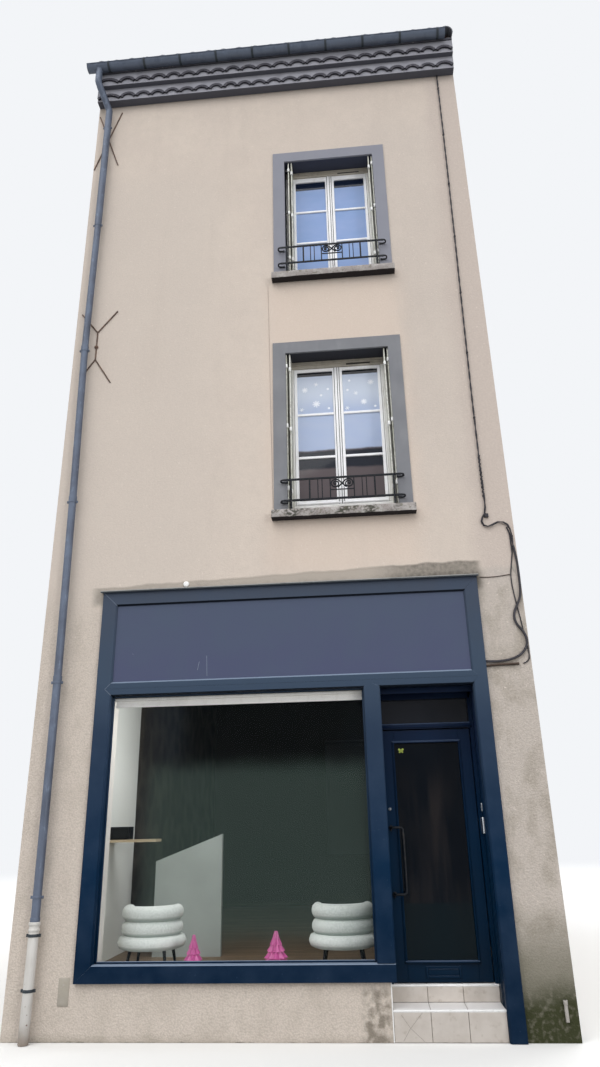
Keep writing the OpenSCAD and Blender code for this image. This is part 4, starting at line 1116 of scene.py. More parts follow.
def makeShopfront(s):
    bm = bmesh.new()
    front, face, deep = street - s["out"], street, street + s["in"]
    left, right, foot, head, top, railTop = (s[k] for k in ("left", "right", "foot", "head", "top", "railTop"))
    (lapLeft, lapRight), (postLeft, postRight) = s["lap"], s["mullion"]
    inLeft, inRight = left + s["board"], right - s["rightBoard"]
    sign, opening, wide = s["signChamfer"], s["openingChamfer"], s["bead"]

    # A cut from an inner corner to an outer one; keep says which side of it stays
    def mitre(x, z, toX, toZ, keep):
        return (x, 0, z), Vector((toZ - z, 0, x - toX)) * keep

    topLeft, topRight = (inLeft, s["signHead"], left, top), (inRight, s["signHead"], right, top)
    footLeft = (inLeft, railTop, left, foot)
    half = (s["signFoot"] - head) / 2
    ends = (inLeft - half, inRight + half * 0.9)
    post, tip = (postLeft + postRight) / 2, head + (postRight - postLeft) / 4
    for x0, x1, z0, z1, lift, sides, cuts in (
            (left, right, s["signHead"], top, 0.0, {"B": sign}, [mitre(*topLeft, -1), mitre(*topRight, 1)]),
            (left, inLeft, foot, top, 0.0, {"R": sign}, [mitre(*topLeft, 1), mitre(*footLeft, -1)]),
            (inRight, right, 0.0, top, 0.0, {"L": sign}, [mitre(*topRight, -1)]),
            (*ends, head, s["signFoot"], 0.0008, {"T": sign, "B": opening},
             [((x, 0, head + half), (way, 0, z)) for x, way in zip(ends, (-1, 1)) for z in (1, -1)]),
            (left, postRight, foot, railTop, 0.0, {"T": opening}, [mitre(*footLeft, 1)]),
            (postLeft, postRight, railTop - 0.001, tip, 0.0016, {"L": opening, "R": opening},
             [((post, 0, tip), (way, 0, 1)) for way in (-0.5, 0.5)])):
        addBoard(bm, (x0, front - lift, z0), (x1, face, z1), sides, cuts)
    # Linings behind the boards, and glazing beads in front of the pane
    for x0, x1, z0, z1 in ((lapLeft, inLeft, foot, s["lintel"]), (lapLeft, postRight, foot, railTop),
                           (postLeft, postRight, foot, s["lintel"]), (lapLeft, lapRight, head, s["lintel"]),
                           (inRight, lapRight, 0.0, s["lintel"])):
        addBlock(bm, (x0, face, z0), (x1, deep, z1), 0.001)
    for x0, x1, z0, z1 in ((inLeft, inLeft + wide, railTop, head), (postLeft - wide, postLeft, railTop, head),
                           (inLeft, postLeft, railTop, railTop + wide), (inLeft, postLeft, head - wide, head)):
        addBlock(bm, (x0, street + s["beadFront"], z0), (x1, street + s["beadBack"], z1), 0.003)
    makePiece("shopfront_boards", bm, "shop_paint", ["shopfront_frame"])
    filler = bmesh.new()
    addStrokes(filler, s["joints"], front - 0.0008, 0.0028, 0.0010)
    makePiece("shopfront_joint_filler", filler, "shop_paint", finish=jointFiller)


jointFiller = cornicePaint("jointFiller", "#8791A0", "#6B7686")
makeShopfront(shop)

# Zinc flashing over the top board: a plate of pale zinc, and a drip folded under it in dark zinc as painted shadow
flashing = {
    "left": -1.872, "right": 2.049, "out": 0.070, "level": 4.040, "drip": 0.012, "sheet": 0.0090, "edge": 0.0015,
}


def makeFlashing(s):
    plate, drip = bmesh.new(), bmesh.new()
    left, right, level, edge = s["left"], s["right"], s["level"], street - s["out"]
    addBlock(plate, (left, edge, level + 0.0005), (right, street, level + s["sheet"]), 0.0005)
    addBlock(plate, (left, street - 0.006, level), (right, street, level + 0.020), 0.001)
    addBlock(drip, (left, edge + s["edge"], level - s["drip"]), (right, edge + 0.008, level), 0.001)
    makePiece("drip_flashing", plate, "cap_zinc", ["drip_cap"])
    # The drip takes the dark zinc of the straps as painted shadow
    makePiece("drip_fold", drip, "cap_zinc", finish=strapZinc)


makeFlashing(flashing)

# Sign panel: a bare painted board, scratched where things were fixed to it
sign = {
    "low": (-1.690, 3.091), "high": (1.891, 3.887), "thick": 0.018,
    "scratches": [((-0.805, 3.271), (-0.817, 3.216)), ((-0.731, 3.329), (-0.723, 3.122)),
                  ((-1.500, 3.378), (-1.494, 3.370)),
                  ((-0.815, 3.214), (-0.822, 3.186))],
}


def makeSign(s):
    board, marks = bmesh.new(), bmesh.new()
    face = street - s["thick"]
    addBlock(board, (s["low"][0], face, s["low"][1]), (s["high"][0], street, s["high"][1]), 0.001)
    addStrokes(marks, s["scratches"], face - 0.0002, 0.0045, 0.0008)
    makePiece("sign_board", board, "sign_paint", ["sign_panel"])
    makePiece("sign_scratches", marks, "sign_paint", finish=jointFiller)


makeSign(sign)

# Roller blind in its cassette, let down a hand's breadth
blind = {"left": -1.689, "right": 0.832, "foot": 2.850, "near": 0.065, "far": 0.150}


def makeBlind(s):
    bm = bmesh.new()
    # Casing, cloth and bottom rail: in from the sides, depth, foot and top, ease
    for inset, near, far, low, high, ease in ((0.004, s["near"] + 0.001, s["far"], 0.062, 0.180, 0.010),
                                              (0.020, s["near"] + 0.026, s["near"] + 0.029, 0.020, 0.090, 0.0),
                                              (0.018, s["near"] + 0.018, s["near"] + 0.038, 0.0, 0.028, 0.006)):
        addBlock(bm, (s["left"] + inset, street + near, s["foot"] + low),
                 (s["right"] - inset, street + far, s["foot"] + high), ease, 3 if ease > 0.006 else 2)
    makePiece("roller_blind", bm, "white_metal", ["blind_box"], finish=blindCasing)


blindCasing = coatedMetal("blindCasing", "#FFFDF8", "#EFECE4", 0.5)
makeBlind(blind)
print("shopfront made")


# Door frame, leaf and furniture
door = {
    "left": 0.948, "right": 1.890, "floor": 0.375, "head": 2.955, "front": 0.300, "back": 0.380,
    "posts": (0.972, 1.860), "bar": (2.578, 2.635), "headFoot": 2.865,
    "leaf": (0.980, 1.852), "leafZ": (0.383, 2.570), "leafY": (0.325, 0.370),
    "light": (1.105, 1.732), "lightZ": (0.555, 2.445), "bead": 0.025, "beadOut": 0.012, "sillOut": 0.024,
    "hingeX": 1.856, "hingeDepth": 0.395, "hinges": (0.650, 1.450, 2.250),
}


def makeDoorFrame(s):
    bm = bmesh.new()
    front, back = street + s["front"], street + s["back"]
    for x0, x1, z0, z1, sides in ((s["left"], s["posts"][0], s["floor"], s["head"], {"R": 0.006}),
                                  (s["posts"][1], s["right"], s["floor"], s["head"], {"L": 0.006}),
                                  (s["left"], s["right"], s["headFoot"], s["head"], {"B": 0.006}),
                                  (s["left"], s["right"], *s["bar"], {"T": 0.010, "B": 0.004})):
        addBoard(bm, (x0, front, z0), (x1, back, z1), sides)
    low, high = s["bar"]
    addBlock(bm, (s["left"], front - 0.012, low + 0.014), (s["right"], front + 0.005, high - 0.014), 0.005, 2)
    makePiece("door_frame_joinery", bm, "door_paint", ["door_frame"])


def makeDoorLeaf(s):
    bm = bmesh.new()
    (left, right), (foot, top) = s["leaf"], s["leafZ"]
    front, back = street + s["leafY"][0], street + s["leafY"][1]
    light, lightZ = s["light"], s["lightZ"]
    gap = 0.0004
    for x0, x1, z0, z1 in ((left, light[0] - gap, foot, top), (light[1] + gap, right, foot, top),
                           (*light, lightZ[1], top), (*light, foot, lightZ[0])):
        addBoard(bm, (x0, front, z0), (x1, back, z1))
    out, wide = s["beadOut"], s["bead"]
    corners = [(light[0] - wide, lightZ[0] - wide), (light[1] + wide, lightZ[1] + wide)]
    for reach, lift in ((0.0, out * 0.55), (0.009, out)):
        x0, z0, x1, z1 = corners[0][0] + reach, corners[0][1] + reach, corners[1][0] - reach, corners[1][1] - reach
        y = front - lift
        for low, high, sides in (
                ((x0, y, z0), (light[0], front + 0.004, z1), {"L": 0.005, "R": 0.004}),
                ((light[1], y, z0), (x1, front + 0.004, z1), {"L": 0.004, "R": 0.005}),
                ((x0, y, z0), (x1, front + 0.004, lightZ[0]), {"B": 0.005, "T": 0.004}),
                ((x0, y, lightZ[1]), (x1, front + 0.004, z1), {"B": 0.004, "T": 0.005})):
            # A mitre at each outer corner of the bead
            cuts = []
            for cornerX, inX in ((x0, light[0]), (x1, light[1])):
                for cornerZ, inZ in ((z0, lightZ[0]), (z1, lightZ[1])):
                    if cornerX in (low[0], high[0]) and cornerZ in (low[2], high[2]):
                        away = Vector((inZ - cornerZ, 0, cornerX - inX))
                        centre = Vector(((low[0] + high[0]) / 2 - inX, 0, (low[2] + high[2]) / 2 - inZ))
                        cuts.append(((inX, 0, inZ), away if away.dot(centre) < 0 else -away))
            addBoard(bm, low, high, sides, cuts, 0.0006)
    # Weather bead along the foot of the light
    addBlock(bm, (corners[0][0] + 0.006, front - s["sillOut"], corners[0][1] + 0.002),
             (corners[1][0] - 0.006, front, lightZ[0] - 0.002), 0.008, 3)
    for z in s["hinges"]:
        x, y = s["hingeX"], street + s["hingeDepth"]
        addUpright(bm, x, y, z + 0.051, z + 0.100, 0.009, 16, 0.002)
        addBlock(bm, (x - 0.030, back, z + 0.051), (x - 0.001, y + 0.002, z + 0.100), 0.001)
    makePiece("door_leaf_joinery", bm, "door_paint", ["door_leaf"], "door")


handle = {
    "x": 1.028, "grip": 1.138, "out": 0.070, "levels": (1.098, 1.672), "radius": 0.0115, "bend": 0.034,
    "lock": 1.838,
}


# One bent bar: out from the rose, round two corners into the grip, and back the same way
def makeHandle(s):
    bm, lock = bmesh.new(), bmesh.new()
    face = street + door["leafY"][0]
    gripY = face - s["out"]
    x, grip, bend, (low, top) = s["x"], s["grip"], s["bend"], s["levels"]
    half = [(x, face - 0.004, top), (x, gripY + 0.030, top), (x + 0.004, gripY + 0.004, top), (x + 0.030, gripY, top),
            (grip - bend, gripY, top), (grip - 0.18 * bend, gripY, top - 0.18 * bend), (grip, gripY, top - bend)]
    other = [(x, y, low + top - z) for x, y, z in reversed(half)]
    addBent(bm, half + other, s["radius"], 3, True)
    for z in s["levels"]:
        addStud(bm, s["x"], z, face, face - 0.008, 0.021, 24, 0.003)
        addUpright(bm, s["x"] - 0.002, face - 0.006, z - 0.016, z - 0.034, 0.007, 12, 0.002)
    addStud(lock, s["x"], s["lock"], face, face - 0.007, 0.014, 20, 0.002)
    addStud(lock, s["x"], s["lock"], face - 0.005, face - 0.012, 0.007, 16, 0.001)
    makePiece("door_pull", bm, "black_metal", ["door_handle"], "door")
    makePiece("door_lock_rose", lock, "black_metal", (), "door", finish=lockSteel)


lockSteel = zincSheet("lockSteel", "#6F747A", "#8C9196", "#4A4E53", 0.4, 0.8)

# Letter plate: a raised frame round a sunk flap
letterPlate = {"x": (1.263, 1.575), "z": (0.416, 0.512), "frame": 0.020, "out": 0.013, "flapOut": 0.006}


def makeLetterPlate(s):
    bm = bmesh.new()
    face = street + door["leafY"][0]
    (x0, x1), (z0, z1), wide, out = s["x"], s["z"], s["frame"], face - s["out"]
    for a, b, low, high in ((x0, x0 + wide, z0, z1), (x1 - wide, x1, z0, z1), (x0 + wide, x1 - wide, z0, z0 + wide),
                            (x0 + wide, x1 - wide, z1 - wide, z1)):
        addBlock(bm, (a, out, low), (b, face, high), 0.003, 2)
    addBlock(bm, (x0 + wide + 0.002, face - s["flapOut"], z0 + wide + 0.002),
             (x1 - wide - 0.002, face + 0.001, z1 - wide - 0.002), 0.002, 2)
    addBar(bm, (x0 + wide + 0.006, face - s["flapOut"], z1 - wide - 0.006),
           (x1 - wide - 0.006, face - s["flapOut"], z1 - wide - 0.006), 0.004, 10)
    makePiece("letter_flap", bm, "door_paint", ["letter_plate"], "door")


makeDoorFrame(door)
makeDoorLeaf(door)
makeHandle(handle)
makeLetterPlate(letterPlate)

# Bell in the recess: a steel housing with a push button on its side, and a small label holder above it
bell = {"x": (1.870, 1.890), "depth": (0.150, 0.295), "z": (1.605, 1.745), "holder": ((0.205, 1.800), (0.265, 1.872))}


def makeBell(s):
    bm = bmesh.new()
    (x0, x1), (d0, d1), (z0, z1) = s["x"], s["depth"], s["z"]
    addBlock(bm, (x0, street + d0, z0), (x1, street + d1, z1), 0.003, 2)
    y, z = street + (d0 + d1) / 2, z0 + 0.045
    addBar(bm, (x0 + 0.002, y, z), (x0 + 0.0005, y, z), 0.012, 16)
    (near, low), (far, high) = s["holder"]
    addBlock(bm, (x1 - 0.008, street + near, low), (x1, street + far, high), 0.002, 2)
    makePiece("bell_panel", bm, "panel_steel", ["entry_panel"])


makeBell(bell)

# Thin beads up the right side of the recess, where its boards meet
recessBeads = {"face": 1.890, "radius": 0.006, "depths": (0.072, 0.140, 0.292), "top": 2.900}


def makeRecessBeads(s):
    bm = bmesh.new()
    for depth in s["depths"]:
        foot = 0.376 if depth > steps["treads"][1][0] else 0.238
        addUpright(bm, s["face"], street + depth, foot, s["top"], s["radius"], 10)
    makePiece("recess_beads", bm, "door_paint")


# Steps: stoneware tiles 312 mm wide on a mortar core, with pale nosings; one tile is cracked across
steps = {
    "left": 0.948, "right": 1.890, "treads": ((0.0, 0.237), (0.288, 0.375)), "back": 0.500,
    "riserJoints": (1.262, 1.574), "joint": 0.0045, "tile": 0.009, "nosing": 0.016,
    "cracks": [((1.020, 0.012), (1.080, 0.100)), ((1.080, 0.100), (1.190, 0.216)), ((1.195, 0.010), (1.085, 0.104)),
               ((1.085, 0.104), (1.010, 0.205))],
}


def makeSteps(s):
    core, tiles, edges = bmesh.new(), bmesh.new(), bmesh.new()
    t = s["tile"]
    foot = 0.0
    for depth, level in s["treads"]:
        y = street + depth
        addBlock(core, (s["left"] + 0.001, y + t - 0.002, foot),
                 (s["right"] - 0.001, street + s["back"], level - t + 0.002))
        xs = [s["left"], *s["riserJoints"], s["right"]]
        nextY = street + (s["treads"][1][0] if level < 0.3 else s["back"])
        for x0, x1 in zip(xs, xs[1:]):
            low, high = x0 + s["joint"] / 2, x1 - s["joint"] / 2
            addBlock(tiles, (low, y, foot + 0.003), (high, y + t, level - s["nosing"] - 0.002), 0.0012)
            addBlock(tiles, (low, y + s["nosing"], level - t), (high, nextY, level), 0.0012)
        addBlock(edges, (s["left"], y, level - s["nosing"]), (s["right"], y + s["nosing"], level), 0.003, 2)
        foot = level
    addStrokes(core, s["cracks"], street - 0.0002, 0.0022, 0.0012)
    addBlock(edges, (s["left"] - 0.010, street - 0.004, 0.002),
             (s["left"] - 0.001, street + 0.002, shop["foot"] - 0.004), 0.002)
    makePiece("step_core", core, "step_tile", ["door_steps"], finish=groutMortar)
    makePiece("step_tiles", tiles, "step_tile")
    makePiece("step_nosings", edges, "step_tile", finish=whiteBlock)


groutMortar = cornicePaint("groutMortar", "#857E75", "#645E55")
makeSteps(steps)
makeRecessBeads(recessBeads)
print("door and steps made")


# Windows: an outer frame with a moulded head and a vent slot, and two opening sashes with two glazing bars each;
# foot and top give the edges of frame and glass, measured from the sill and from the head
firstFloor = {
    "width": 1.200, "sill": 4.865, "head": 6.895, "jambs": (0.077, 0.095),
    "foot": (0.152, 0.212), "top": (0.096, 0.138), "bars": (5.617, 6.178),
}
secondFloor = {
    "width": 1.160, "sill": 8.035, "head": 9.905, "jambs": (0.092, 0.088),
    "foot": (0.085, 0.152), "top": (0.093, 0.161), "bars": (8.720, 9.233),
}
rearOpenings = {
    "ground": {**secondFloor, "width": 1.200, "sill": 1.350, "head": 3.150, "bars": (1.994, 2.487)},
    "first": {**secondFloor, "width": 1.200, "sill": 4.865, "head": 6.895, "bars": (5.617, 6.178)},
    "second": secondFloor,
}
casement = {
    "front": 0.200, "back": 0.260, "stile": 0.036, "meeting": 0.118, "bar": 0.031, "edge": 0.007,
    "vent": (0.113, 0.398), "ventHigh": 0.020, "pane": (0.226, 0.234), "groove": 0.0035,
}


def makeCasement(name, s, opening, hides, middle=windowX):
    outer, headBoard, sashes, dark, panes = (bmesh.new() for _ in range(5))
    front, back, edge = street + s["front"], street + s["back"], s["edge"]
    left, right = middle - opening["width"] / 2, middle + opening["width"] / 2
    foot, head = opening["sill"], opening["head"]
    inLeft, inRight = left + opening["jambs"][0], right - opening["jambs"][1]
    frameFoot, frameHead = foot + opening["foot"][0], head - opening["top"][0]
    # Outer frame: jambs between a foot board and a head board
    for bm, y, x0, x1, z0, z1, sides in ((outer, front, left, inLeft - 0.003, frameFoot, frameHead, {"R": 0.005}),
                                         (outer, front, inRight + 0.003, right, frameFoot, frameHead, {"L": 0.005}),
                                         (headBoard, front, left, right, frameHead, head, {"B": 0.006}),
                                         (outer, front - 0.012, left, right, foot, frameFoot - 0.002, {"T": 0.014})):
        addBoard(bm, (x0, y, z0), (x1, back, z1), sides, (), 0.001)
    # Mouldings on the head and beads on the jambs
    for low, high, out, ease, rounds in ((head - 0.053, head - 0.040, 0.010, 0.003, 2),
                                         (frameHead - 0.001, frameHead + 0.012, 0.013, 0.003, 2),
                                         (head - 0.018, head - 0.002, 0.006, 0.002, 1)):
        addBlock(headBoard, (left + 0.001, front - out, low), (right - 0.001, front + 0.002, high), ease, rounds)
    for x in (inLeft - 0.016, inRight + 0.016):
        addBlock(outer, (x - 0.005, front - 0.006, frameFoot), (x + 0.005, front + 0.002, frameHead - 0.012), 0.002)
    # Vent: a dark strip as painted shade for the slot, under a thin hood
    mid = (inLeft + inRight) / 2
    z = head - opening["top"][0] * 0.66
    x0, x1 = mid + s["vent"][0], mid + s["vent"][1]
    addBlock(dark, (x0, front - 0.003, z - s["ventHigh"] / 2), (x1, front + 0.004, z + s["ventHigh"] / 2), 0.001)
    addBlock(headBoard, (x0 - 0.008, front - 0.012, z + s["ventHigh"] / 2),
             (x1 + 0.008, front + 0.003, z + s["ventHigh"] / 2 + 0.004), 0.001)
    # Sashes: rails between stiles
    lights = ((inLeft + s["stile"], mid - s["meeting"] / 2), (mid + s["meeting"] / 2, inRight - s["stile"]))
    glassFoot, glassHead = foot + opening["foot"][1], head - opening["top"][1]
    y0, y1 = front + 0.006, back - 0.006
    low, high = frameFoot + 0.003, frameHead - 0.003
    for (x0, x1), side in zip(lights, (-1, 1)):
        a, b = (inLeft + 0.002, mid - 0.0015) if side < 0 else (mid + 0.0015, inRight - 0.002)
        for c, d, z0, z1, bevelled, ease in ((a, x0, low, high, "R", 0.001), (x1, b, low, high, "L", 0.001),
                                             (x0 - edge, x1 + edge, low + 0.001, glassFoot, "T", 0.0005),
                                             (x0 - edge, x1 + edge, glassHead, high - 0.001, "B", 0.0005)):
            addBoard(sashes, (c, y0, z0), (d, y1, z1), {bevelled: edge}, (), ease)
        addBlock(sashes, (a + 0.008, y0 - 0.013, low + 0.008), (b - 0.008, y0 + 0.004, low + 0.026), 0.006, 2)
        addBlock(panes, (x0 - 0.004, street + s["pane"][0], glassFoot - 0.004),
                 (x1 + 0.004, street + s["pane"][1], glassHead + 0.004))
        for z in opening["bars"]:
            barFoot, barHead = z - s["bar"] / 2, z + s["bar"] / 2
            addBlock(sashes, (x0 - 0.002, y0 + 0.006, barFoot), (x1 + 0.002, y1 - 0.010, barHead), 0.005)
    # Cover strip and bead on the meeting stiles, with dark strips beside them as painted shade in the gaps
    for x, wide, out in ((mid - 0.018, 0.028, 0.012), (mid + 0.012, 0.018, 0.008)):
        addBlock(sashes, (x - wide / 2, y0 - out, low + 0.006), (x + wide / 2, y0 + 0.004, high - 0.003), 0.004, 2)
    for x in (mid - 0.035, mid + 0.0005, mid + 0.0245):
        addBlock(dark, (x - s["groove"], y0 - 0.0015, low + 0.004), (x + s["groove"], y0 + 0.002, high - 0.002))
    makePiece(name, sashes, "window_paint", hides)
    makePiece(name + "_outer_frame", outer, "window_paint", finish=creamFrame)
    # The head board takes the darker cream as painted shade
    makePiece(name + "_head_board", headBoard, "window_paint", finish=shadedHeadFrame)
    makePiece(name + "_dark_gaps", dark, "window_paint", finish=ventShade)
    makePiece(name + "_panes", panes, "window_glass", ["window_glass"])


ventShade = cornicePaint("ventShade", "#3A3835", "#2A2826", "#242220")
for level, opening in (("first", firstFloor), ("second", secondFloor)):
    makeCasement(f"casement_{level}_floor", casement, opening, [level + "_floor_window"])
for level, opening in rearOpenings.items():
    makeCasement("casement_rear_" + level, casement, opening, ["rear_windows"], -windowX)

# Sills: stone blocks with worn noses
sill = {"past": 0.170, "out": 0.100, "back": 0.260, "thick": 0.095, "wear": 0.0035, "seed": 31}


def makeSill(name, s, opening, middle=windowX):
    bm = bmesh.new()
    draw = random.Random(s["seed"] + int(opening["sill"] * 10))
    reach = opening["width"] / 2 + s["past"]
    top = opening["sill"]
    addBlock(bm, (middle - reach, street - s["out"], top - s["thick"]), (middle + reach, street + s["back"], top))
    long = [e for e in bm.edges if abs(e.verts[0].co.x - e.verts[1].co.x) > 1]
    bmesh.ops.subdivide_edges(bm, edges=long, cuts=46, use_grid_fill=True)
    nose = [e for e in bm.edges if all(abs(v.co.y - street + s["out"]) < 1e-4 for v in e.verts)
            and all(abs(v.co.z - top) < 1e-4 or abs(v.co.z - top + s["thick"]) < 1e-4 for v in e.verts)
            and abs(e.verts[0].co.x - e.verts[1].co.x) > 1e-4]
    bevel(bm, nose, 0.009, 2)
    for vert in bm.verts:
        if vert.co.y < street - 0.05:
            vert.co.y += draw.uniform(0, s["wear"])
            vert.co.z -= draw.uniform(0, s["wear"]) * (vert.co.z > top - 0.02)
    makePiece(name, bm, "sill_stone", ["window_sills"], sharp=50)


for level, opening in (("first", firstFloor), ("second", secondFloor)):
    makeSill(f"sill_{level}_floor", sill, opening)
for level, opening in rearOpenings.items():
    makeSill("sill_rear_" + level, sill, opening, -windowX)
print("windows and sills made")

# Folding steel shutters: two ribbed leaves against each side of the opening, with white hinge knuckles in pairs;
# gaps is how far the left and the right shutter stand off the reveal
shutter = {"leaf": 0.014, "step": 0.040, "front": 0.012, "back": 0.194, "foot": 0.012, "head": 0.008, "ribs": 44,
           "knuckle": 0.050, "radius": 0.0150}


def makeShutters(name, s, opening, gaps, pairs):
    leaves, hinges, arms = bmesh.new(), bmesh.new(), bmesh.new()
    front, back = street + s["front"], street + s["back"]
    foot, top = opening["sill"] + s["foot"], opening["head"] - s["head"]
    for side, gap in zip((-1, 1), gaps):
        edge = windowX + side * opening["width"] / 2
        middles = []
        for i in (0, 1):
            near = edge - side * (gap + i * s["step"])
            x0, x1 = sorted((near, near - side * s["leaf"]))
            middles.append((x0 + x1) / 2)
            addBlock(leaves, (x0 + 0.0035, front + 0.003, foot), (x1 - 0.0035, back - 0.003, top), 0.0008)
            for y0, y1 in ((front, front + 0.020), (back - 0.020, back)):
                addBlock(leaves, (x0, y0, foot), (x1, y1, top), 0.003, 2)
            for z in (foot, foot + (top - foot) * 0.5, top - 0.05):
                addBlock(leaves, (x0, front + 0.002, z), (x1, back - 0.002, z + 0.05), 0.002)
            rise = (top - foot) / s["ribs"]
            for rib in range(s["ribs"]):
                z = foot + rib * rise
                addBlock(leaves, (x0 + 0.001, front + 0.018, z + 0.3 * rise),
                         (x1 - 0.001, back - 0.018, z + 0.62 * rise))
        for z, low in pairs:
            for x, level in zip(middles, (z, low)):
                half = s["knuckle"] / 2
                addUpright(hinges, x, street + 0.010, level - half, level + half, s["radius"], 14, 0.004)
            if gap:
                a, b = sorted((edge, middles[0]))
                addBlock(arms, (a, street + 0.014, z - 0.012), (b, street + 0.022, z + 0.012), 0.003)
    makePiece(name, leaves, "shutter_paint", ["shutters"])
    makePiece(name + "_hinges", hinges, "shutter_paint", finish=whiteBlock)
    if arms.verts:
        makePiece(name + "_hinge_arms", arms, "shutter_paint", finish=ventShade)


makeShutters("shutters_first_floor", shutter, firstFloor, (0, 0), ((6.728, 6.680), (5.934, 5.888), (5.156, 5.114)))
makeShutters("shutters_second_floor", shutter, secondFloor, (0.046, 0.004),
             ((9.768, 9.712), (9.047, 8.997), (8.322, 8.292)))
print("shutters made")

# Guard rails: two flat rails hooked back to the wall, plain bars, and a panel of paired scrolls over a bar
guard = {
    "tops": {"first": 5.207, "second": 8.402},
    "out": 0.085, "reach": 0.674, "rail": 0.012, "railHigh": 0.024, "turn": 0.037, "back": 0.046, "drop": 0.245,
    "post": 0.552, "postWide": 0.018, "bars": ((0.351, 0.018), (0.262, 0.010), (0.216, 0.010), (0.128, 0.013)),
    "panel": 0.128, "panelFoot": 0.143, "eye": 0.071, "eyeDrop": 0.073, "coil": 0.052, "turns": 1.6, "scroll": 0.0080,
}


# A scroll that winds out from its eye and crosses the middle to the opposite lower corner
def scrollPoints(s, side, y, z, count=34):
    points = []
    for i in range(count):
        share = i / (count - 1)
        angle = math.radians(45) + (1 - share) * s["turns"] * 2 * math.pi
        radius = 0.010 + (s["coil"] - 0.010) * share ** 0.75
        points.append((windowX + side * (s["eye"] - radius * math.cos(angle)), y, z + radius * math.sin(angle)))
    points.append((windowX - side * 0.046, y, z - 0.046))
    return points


def makeGuard(name, s, sillLevel, top, hides):
    bm = bmesh.new()
    y = street - s["out"]
    low = top - s["drop"]
    eyeLevel, panelLevel = top - s["eyeDrop"], top - s["panelFoot"]
    rail, half = s["rail"], s["railHigh"] / 2

    def addCentred(x, wide, deep, foot, head, ease=0.0):
        addBlock(bm, (x - wide / 2, y - deep / 2, foot), (x + wide / 2, y + deep / 2, head), ease)

    # Rails: drawn in plan as a strip, turned round at each end and brought back to the surround
    for z in (low, top):
        addCentred(windowX, 2 * (s["reach"] - s["turn"]), rail, z - half, z + half, 0.002)
        for side in (-1, 1):
            part = bmesh.new()
            hub = Vector((windowX + side * (s["reach"] - s["turn"]), y + s["turn"] - rail / 2, z))
            edge = hub - Vector((0, s["turn"], 0))
            addBlock(part, (edge.x - 0.0004, edge.y, z - 0.64 * half),
                     (edge.x + 0.0004, edge.y + rail, z + 0.64 * half))
            keep = next(f for f in part.faces if f.normal.x * side > 0.9)
            turned = bmesh.ops.spin(part, geom=[keep, *keep.edges, *keep.verts], cent=hub, axis=(0, 0, side),
                                    angle=math.pi, steps=12)["geom_last"]
            run = bmesh.ops.extrude_face_region(part, geom=[firstFace(turned)])["geom"]
            bmesh.ops.translate(part, vec=(-side * s["back"], 0, 0), verts=vertsIn(run))
            bmesh.ops.recalc_face_normals(part, faces=part.faces)
            joinPart(bm, part)
            footX, footY = hub.x - side * (s["back"] - 0.006), hub.y + s["turn"]
            if footY < street - 0.016:
                addBlock(bm, (footX - 0.008, footY - rail - 0.002, z - half),
                         (footX + 0.008, street - 0.015, z + half), 0.002)
    for side in (-1, 1):
        addCentred(windowX + side * s["post"], s["postWide"], s["postWide"], sillLevel - 0.001, top, 0.001)
        for at, wide in s["bars"]:
            addCentred(windowX + side * at, wide, wide, low, top, 0.0008)
        addBent(bm, scrollPoints(s, side, y, eyeLevel), s["scroll"])
        eyeX = windowX + side * s["eye"]
        addStud(bm, eyeX, eyeLevel, y - 0.007, y + 0.007, 0.011, 14, 0.002)
        addCentred(eyeX, 0.008, 0.008, top - 0.022, top - 0.008)    # ties the coil to the rail
    addCentred(windowX, 2 * s["panel"], 0.010, panelLevel - 0.006, panelLevel + 0.006, 0.001)
    addCentred(windowX, 0.020, 0.016, eyeLevel - 0.010, eyeLevel + 0.010, 0.003)
    makePiece(name, bm, "black_metal", hides)


for level, opening in (("first", firstFloor), ("second", secondFloor)):
    makeGuard("guard_rail_" + level, guard, opening["sill"], guard["tops"][level], [level + "_guard_rail"])
print("guard rails made")

